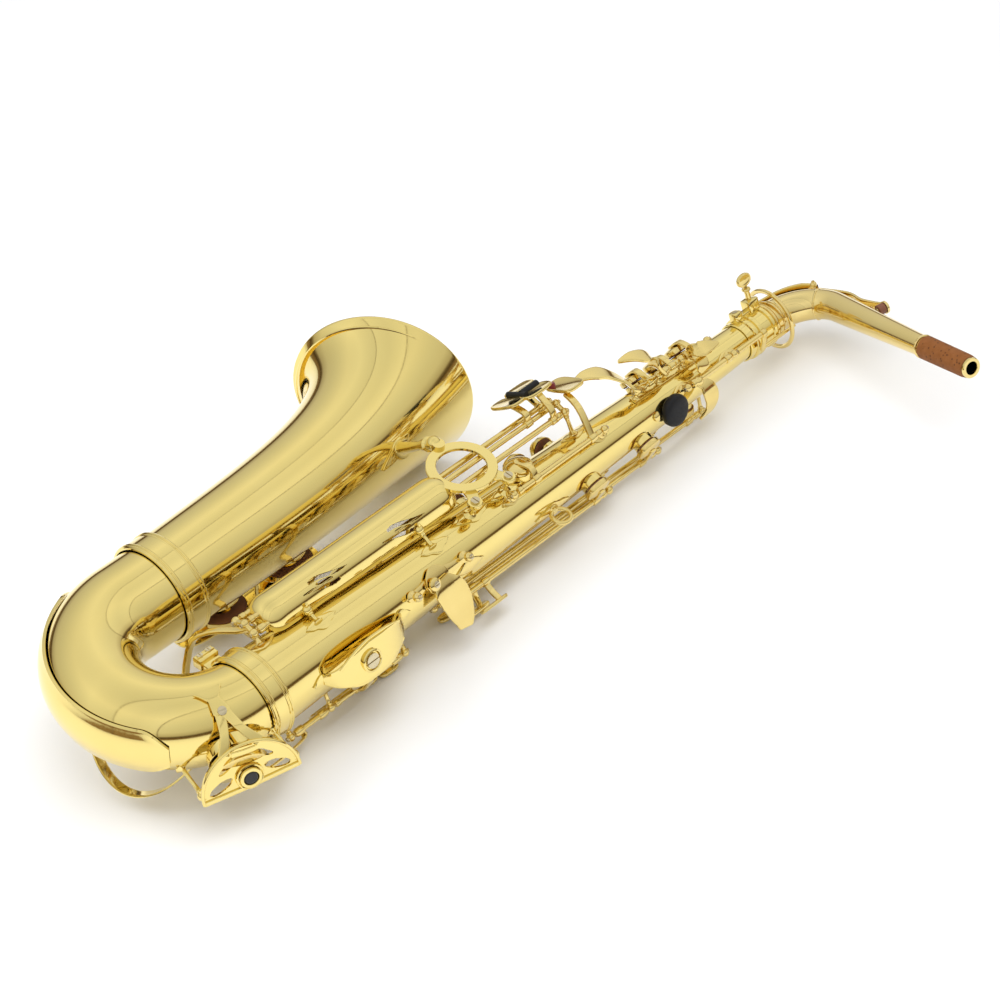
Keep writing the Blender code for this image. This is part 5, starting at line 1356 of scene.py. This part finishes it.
recLow, recHigh = tube["length"] - 4.0, tube["length"] + receiver["length"]
recBore, recR = tube["topRadius"] + gap + 0.2, receiver["radius"]
recProfile = [(recBore, recLow), (recR - 1.1, recLow), (recR - 0.6, recLow + 0.4), (recR - 0.6, recLow + 4.6)]
for at in (recLow + 8.0, recLow + 13.5, recHigh - 3.4):
    recProfile += [(recR - 0.5, at - 2.2), (recR + 0.6, at - 1.7), (recR + 1.0, at), (recR + 0.6, at + 1.7)]
    recProfile += [(recR - 0.5, at + 2.2)]
recProfile += [(recR, recHigh - 0.8), (recR - 0.5, recHigh), (recBore, recHigh), (recBore, recLow)]
recParts = [turned(recProfile, Vector((0, 0, 0)), xAxis, fineSides)]
screwX, screwPhi = tube["length"] + receiver["length"] - 7.0, 68.0
out = outward(screwPhi)
acrossLug = outward(screwPhi + 90)
lugShape = ovalOutline(11, 9.4, 6)
recParts.append(plate(lugShape, 9.6, onAxis(screwX, screwPhi, 14.2), out, xAxis, 0.8))
recParts.append(plate(ovalOutline(8.4, 8.4, 3), 7.4, onAxis(recLow + 6.5, screwPhi, 14.2), out, xAxis, 0.9))
recParts.append(
    strap([onAxis(recLow + 4, screwPhi, 16.2), onAxis(recHigh - 4, screwPhi, 16.2)], 6.2, 3.6, acrossLug, 2)
)
for sign in (1, -1):
    at = onAxis(screwX, screwPhi, 19.5) + acrossLug * sign * 4.6
    recParts.append(turned([(0, 0), (2.6, 0), (2.4, 1.0), (0, 1.3)], at, acrossLug * sign, 24))
finishPiece("neckReceiver", gather(recParts), goldLacquer, "horn", ["neck_receiver"])
lyreHole = turned([(0, 0), (2.2, 0), (2.2, 0.5), (0, 0.5)], onAxis(recLow + 6.5, screwPhi, 21.4), out, 24)
finishPiece("lyreScrew", lyreHole, screwSteel, "horn")

screwFoot = onAxis(screwX, screwPhi, 23.9)
stemProfile = [
    (0, 0), (2.0, 0), (2.0, 6.4), (3.0, 6.8), (3.4, 7.6), (3.0, 8.6), (1.7, 9.2), (1.5, 10.6), (2.0, 11.2),
    (0, 11.4),
]
screwParts = [turned(stemProfile, screwFoot, out, 28)]
screwParts.append(
    dishedTouch(ovalOutline(13.6, 9.6, 2.2), 2.6, screwFoot + out * 15 - acrossLug * 1.3, acrossLug, xAxis)
)
finishPiece("neckScrew", gather(screwParts), keyLacquer, "screw", ["neck_screw"])
print("receiver made")

# neck

neckMarks = [0, 4, 8] + [8 + neck["bend"] * math.radians(neck["turn"]) * i / 40 for i in range(1, 41)]
neckMarks += [neckMarks[-1] + (neckLength - neckMarks[-1]) * i / 30 for i in range(1, 31)]
neckSkin = tubeSkin([neckPoint(mark) for mark in neckMarks], tube["wall"], neckSides)
collar = [
    (10.9, -1.6), (14.4, -1.6), (14.7, -1.2), (14.7, 0.4), (14.2, 1.0), (14.1, 4.4), (14.5, 5.0),
    (14.3, 5.8)
]
collar += [(13.2, 6.4), (10.9, 6.4), (10.9, -1.6)]
neckParts = [neckSkin, turned(collar, Vector((neckX, 0, 0)), xAxis, neckSides)]
neckParts.append(
    turned(
        [(11.3, -16), (12.55, -16), (12.55, 1), (11.3, 1), (11.3, -16)], Vector((neckX, 0, 0)), xAxis, 64
    )
)
for distance in (9.5, 46.0):
    centre, direction, radius = neckPoint(distance)
    neckParts.append(beadOn(centre, direction, radius, 0.9, neckSides))
hingeWay = outOfNeck(neck["saddle"])
saddleAt = neckPoint(neck["saddle"])[0]
neckHinge = saddleAt + hingeWay * neck["hinge"]
for sign in (1, -1):
    foot = saddleAt + zAxis * sign * 6.6 + hingeWay * 8.6
    head = saddleAt + zAxis * sign * 7.2 + hingeWay * neck["hinge"]
    neckParts += turnedPost(foot, head, 2.5, 2.8)
    neckParts.append(screwHead(head + zAxis * sign * 2.2, zAxis * sign, 1.3, 0.6))
pipAt, _, pipRadius = neckPoint(neck["pip"])
pipOut = outOfNeck(neck["pip"])
pipProfile = [
    (0, 0), (5.4, 0), (5.2, 0.6), (2.8, 1.3), (2.0, 2.2), (1.8, 3.7), (2.0, 4.0), (0.9, 4.0), (0.8, 1.0),
    (0, 1.0)
]
neckParts.append(turned(pipProfile, pipAt + pipOut * (pipRadius - 0.5), pipOut, 28))
corkFrom = neckPoint(neckLength - neck["cork"] - 2.2)
neckParts.append(beadOn(corkFrom[0], corkFrom[1], corkFrom[2] + 0.2, 1.2, 48))
tipAt, tipWay, _ = neckPoint(neckLength - 1.2)
tipRing = [(4.6, 0), (6.9, 0), (7.3, 0.5), (7.3, 1.6), (6.8, 2.2), (4.9, 2.2), (4.6, 1.8), (4.6, 0)]
neckParts.append(turned(tipRing, tipAt, tipWay, 48))
finishPiece("neckTube", gather(neckParts), neckLacquer, "neck", ["neck_tube"], turnBack=True)

corkMarks = [neckLength - neck["cork"] * (1 - i / 12) - 1.4 * (i / 12) for i in range(13)]
corkOuter = []
for i, mark in enumerate(corkMarks):
    centre, direction, radius = neckPoint(mark)
    corkOuter.append((centre, facing(direction, zAxis), neck["corkRadius"] + 0.3 - 0.3 * i / 12, None))
corkOuter = [(c, turn, r, r) for c, turn, r, _ in corkOuter]
firstCentre, firstWay, firstRadius = neckPoint(corkMarks[0])
lastCentre, lastWay, _ = neckPoint(corkMarks[-1])
start = (firstCentre, facing(firstWay, zAxis), neck["corkRadius"] - 0.2, neck["corkRadius"] - 0.2)
corkOuter[0] = (corkOuter[0][0] + firstWay * 0.6, *corkOuter[0][1:])
end = (lastCentre + lastWay * 0.1, facing(lastWay, zAxis), neck["corkRadius"] - 0.6, neck["corkRadius"] - 0.6)
corkInner = [(c, turn, 6.2, 6.2) for c, turn, _, _ in (end, start)]
corkInner[1] = (start[0], start[1], firstRadius + 0.25, firstRadius + 0.25)
corkMesh = swept([start] + corkOuter[:-1] + [end] + corkInner, 56, closed=True)
finishPiece("neckCork", corkMesh, corkSheet, "neck", ["neck_cork"], turnBack=True)

overPad = pipAt + pipOut * (pipRadius + 10.6)
leverLine = [neckHinge + hingeWay * 0.5]
for distance in (58.0, 72.0, 85.0):
    centre, _, radius = neckPoint(distance)
    leverLine.append(centre + outOfNeck(distance) * (radius + 4.6 + 3.6 * (distance > 80)))
leverLine.append(overPad)
leverParts = [strap(leverLine, [9, 8, 6.4, 6, 7.4], 2.2, zAxis, 6, 24)]
leverParts.append(
    turned([(0, -0.9), (4.7, -0.9), (4.7, 0.8), (4.2, 1.4), (2.6, 2.0), (0, 2.2)], overPad, pipOut, 32)
)
leverParts.append(rod(neckHinge - zAxis * 4.3, neckHinge + zAxis * 4.3, 2.4))
loopX = neckX + 4.0
loopTube = []
for i in range(72):
    angle = 2 * math.pi * i / 72
    rise = 5 * (1 + math.cos(angle)) / 2
    centre = Vector((loopX + rise, neck["loop"] * math.cos(angle), neck["loop"] * math.sin(angle)))
    tangentWay = Vector((0, -math.sin(angle), math.cos(angle)))
    loopTube.append((centre, facing(tangentWay, xAxis), 1.5, 1.7))
leverParts.append(swept(loopTube, 18, closed=True))
loopFront = Vector((loopX + 5, neck["loop"], 0))
crestAt = neck["rise"] + neck["bend"] * math.radians(36)
centre, _, radius = neckPoint(crestAt)
crest = centre + outOfNeck(crestAt) * (radius + 7.5)
secondAt = neck["rise"] + neck["bend"] * math.radians(62)
centre, _, radius = neckPoint(secondAt)
second = centre + outOfNeck(secondAt) * (radius + 6)
leverParts.append(strap([loopFront, crest, second, neckHinge], [8, 15, 18, 14, 8], 2.0, zAxis, 10, 28))
finishPiece(
    "neckOctaveKey", gather(leverParts), neckLacquer, "neck_octave", ["neck_octave_key"],
    turnBack=True
)
padLow = pipRadius + 4.0
neckPad = turned(
    [(0, padLow), (3.6, padLow), (3.95, padLow + 0.4), (3.95, padLow + 5.4), (0, padLow + 5.4)], pipAt,
    pipOut, 32
)
finishPiece(
    "neckOctavePad", neckPad, padLeather, "neck_octave", ["neck_octave_pad"], turnBack=True
)
print("neck made")

# octave levers under the thumb

octaveTube = rod(hingePoint("octave", 415.6), hingePoint("octave", 458.4), hingeRadius)
route = [hingePoint("octave", 421)]
for x, phi, height in ((425, 150, 9.5), (427, 163, 11), (427, 178, 12.4), (424, 192, 13.2), (417, 205, 13.0)):
    route.append(onBody(x, phi, height))
octaveParts = [
    octaveTube, strap(route, [6, 9, 13, 14, 12, 9, 2.5], 2.2, xAxis, 7, 28), collarOn("octave", 421, 9, 3)
]
octaveParts.append(ball(onBody(422, 141, 8.6), 3.6, 24))
octaveParts.append(collarOn("octave", 455, 5, 2.8))
finishPiece("octaveThumbLever", gather(octaveParts), keyLacquer, "octave_thumb", ["octave_thumb_lever"])
pinPhi, pinRadius = 176.0, 18.2
pinFoot = onAxis(494, pinPhi, pinRadius)
octaveParts = [
    rod(hingePoint("octave", 465.6), hingePoint("octave", 496), hingeRadius),
    collarOn("octave", 494, 4.4, 2.9)
]
middle = (hingePoint("octave", 494) + pinFoot) / 2 + outward(158) * 1.0
octaveParts.append(strap([hingePoint("octave", 494), middle, pinFoot], 4.2, 2.4, xAxis))
octaveParts.append(rod(pinFoot - xAxis * 1.8, onAxis(neckX + 11, pinPhi, pinRadius), 1.3))
finishPiece("octaveRingLever", gather(octaveParts), keyLacquer, "octave_ring", ["octave_ring_lever"])
rollers = [rod(Vector((300, 36.5, 47.0)), Vector((316, 36.5, 47.0)), 2.8)]
rollers.append(rod(Vector((299.5, 48.0, 40.5)), Vector((299.5, 31.0, 50.0)), 2.2))
finishPiece("lowBRoller", gather(rollers[1:]), blackGloss, "low_b")
finishPiece("lowCSharpRoller", gather(rollers[:1]), blackGloss, "low_csharp")
felts = [
    rod(Vector((x, y, z)), Vector((x, y - 1.6, z - 2.4)), 3.4) for x, y, z in ((325, 33, 43), (310, 47, 37))
]
finishPiece("gSharpFelt", gather(felts[:1]), redFelt, "g_sharp")
finishPiece("lowBFlatFelt", gather(felts[1:]), redFelt, "low_bb")
print("octave levers and rollers made")

# floor, light and camera

lowest = min(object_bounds()[0][2], 0.0)
bm = bmesh.new()
bmesh.ops.create_grid(bm, x_segments=2, y_segments=2, size=2.2)
mesh = bpy.data.meshes.new("floor")
bm.to_mesh(mesh)
bm.free()
floor = bpy.data.objects.new("floor", mesh)
floor.location = (0, 0, lowest - 0.0003)
bpy.context.scene.collection.objects.link(floor)
floorFinish = bpy.data.materials.new("paleFloor")
floorFinish.use_nodes = True
floorShader = floorFinish.node_tree.nodes["Principled BSDF"]
floorShader.inputs["Base Color"].default_value = (0.90, 0.90, 0.905, 1)
floorShader.inputs["Roughness"].default_value = 0.6
floorShader.inputs["Specular IOR Level"].default_value = 0.2
mesh.materials.append(floorFinish)

# Reflections see a bright panelled ceiling over a thin dark band near the floor; the camera sees plain white.
world = bpy.data.worlds.new("studio")
bpy.context.scene.world = world
world.use_nodes = True
nodes, links = world.node_tree.nodes, world.node_tree.links
background = nodes["Background"]
coords = nodes.new("ShaderNodeTexCoord")
split = nodes.new("ShaderNodeSeparateXYZ")
links.new(coords.outputs["Generated"], split.inputs["Vector"])


def rampOf(source, stops):
    ramp = nodes.new("ShaderNodeValToRGB")
    links.new(source, ramp.inputs["Fac"])
    ramp.color_ramp.elements[0].position = stops[0][0]
    ramp.color_ramp.elements[0].color = (*stops[0][1], 1)
    ramp.color_ramp.elements[1].position = stops[-1][0]
    ramp.color_ramp.elements[1].color = (*stops[-1][1], 1)
    for position, colour in stops[1:-1]:
        ramp.color_ramp.elements.new(position).color = (*colour, 1)
    return ramp.outputs["Color"]


ceiling = rampOf(split.outputs["Z"], (
    (0.0, (0.30, 0.20, 0.11)), (0.05, (0.09, 0.06, 0.035)), (0.09, (0.20, 0.15, 0.10)),
    (0.13, (0.60, 0.56, 0.50)),
    (0.28, (0.84, 0.83, 0.81)), (0.5, (0.90, 0.91, 0.92)), (0.75, (1.0, 1.0, 1.0)), (1.0, (0.84, 0.85, 0.86)),
))
side = nodes.new("ShaderNodeMapRange")
side.inputs["From Min"].default_value = -1.0
links.new(split.outputs["Y"], side.inputs["Value"])
pale, line = (1, 1, 1), (0.25, 0.2, 0.16)
panels = rampOf(side.outputs[0], (
    (0.0, (0.75, 0.75, 0.75)), (0.245, (0.92, 0.92, 0.92)), (0.25, line), (0.256, pale),
    (0.40, (0.93, 0.93, 0.93)),
    (0.525, pale), (0.53, line), (0.536, (0.9, 0.9, 0.9)), (0.7, pale), (0.83, (0.85, 0.85, 0.85)),
    (1.0, (0.7, 0.7, 0.7)),
))
mixed = nodes.new("ShaderNodeMix")
mixed.data_type = "RGBA"
mixed.blend_type = "MULTIPLY"
mixed.inputs["Factor"].default_value = 1.0
links.new(ceiling, mixed.inputs[6])
links.new(panels, mixed.inputs[7])
rays = nodes.new("ShaderNodeLightPath")
seen = nodes.new("ShaderNodeMix")
seen.data_type = "RGBA"
links.new(rays.outputs["Is Camera Ray"], seen.inputs["Factor"])
links.new(mixed.outputs[2], seen.inputs[6])
seen.inputs[7].default_value = (1, 1, 1, 1)
links.new(seen.outputs[2], background.inputs["Color"])
background.inputs["Strength"].default_value = 1.0


def softLight(name, spot, aim, size, sizeY, power):
    data = bpy.data.lights.new(name, "AREA")
    data.shape = "RECTANGLE"
    data.size, data.size_y = size, sizeY
    data.energy = power
    obj = bpy.data.objects.new(name, data)
    obj.location = spot
    obj.rotation_mode = "QUATERNION"
    obj.rotation_quaternion = (Vector(aim) - Vector(spot)).to_track_quat("-Z", "Y")
    obj.visible_glossy = False  # the metal reflects the world alone
    bpy.context.scene.collection.objects.link(obj)


def hornSpot(x, y, z):
    return fromHorn @ Vector((x, y, z))


softLight("overhead", hornSpot(100, -300, 1500), hornSpot(250, 60, 0), 1.4, 1.1, 10.5)
softLight("farSide", hornSpot(-500, 900, 900), hornSpot(200, 60, 0), 1.1, 0.8, 7)

cameraData = bpy.data.cameras.new("camera")
cameraData.lens = 111.65
cameraData.sensor_width = 36
cameraData.clip_start, cameraData.clip_end = 0.05, 50
camera = bpy.data.objects.new("camera", cameraData)
eye = Vector((-889.0, -1046.1, 1380.8))
look = Vector((0.548, 0.508, -0.664)).normalized()
right = Vector((0.678, -0.735, -0.003))
right = (right - look * right.dot(look)).normalized()
up = right.cross(look)
hornTurn = fromHorn.to_3x3() * 1000
turn = hornTurn @ Matrix((right, up, -look)).transposed()
camera.rotation_mode = "QUATERNION"
camera.rotation_quaternion = turn.to_quaternion()
camera.location = fromHorn @ eye
bpy.context.scene.collection.objects.link(camera)
bpy.context.scene.camera = camera
bpy.context.scene.view_settings.view_transform = "Standard"

print("stage made")
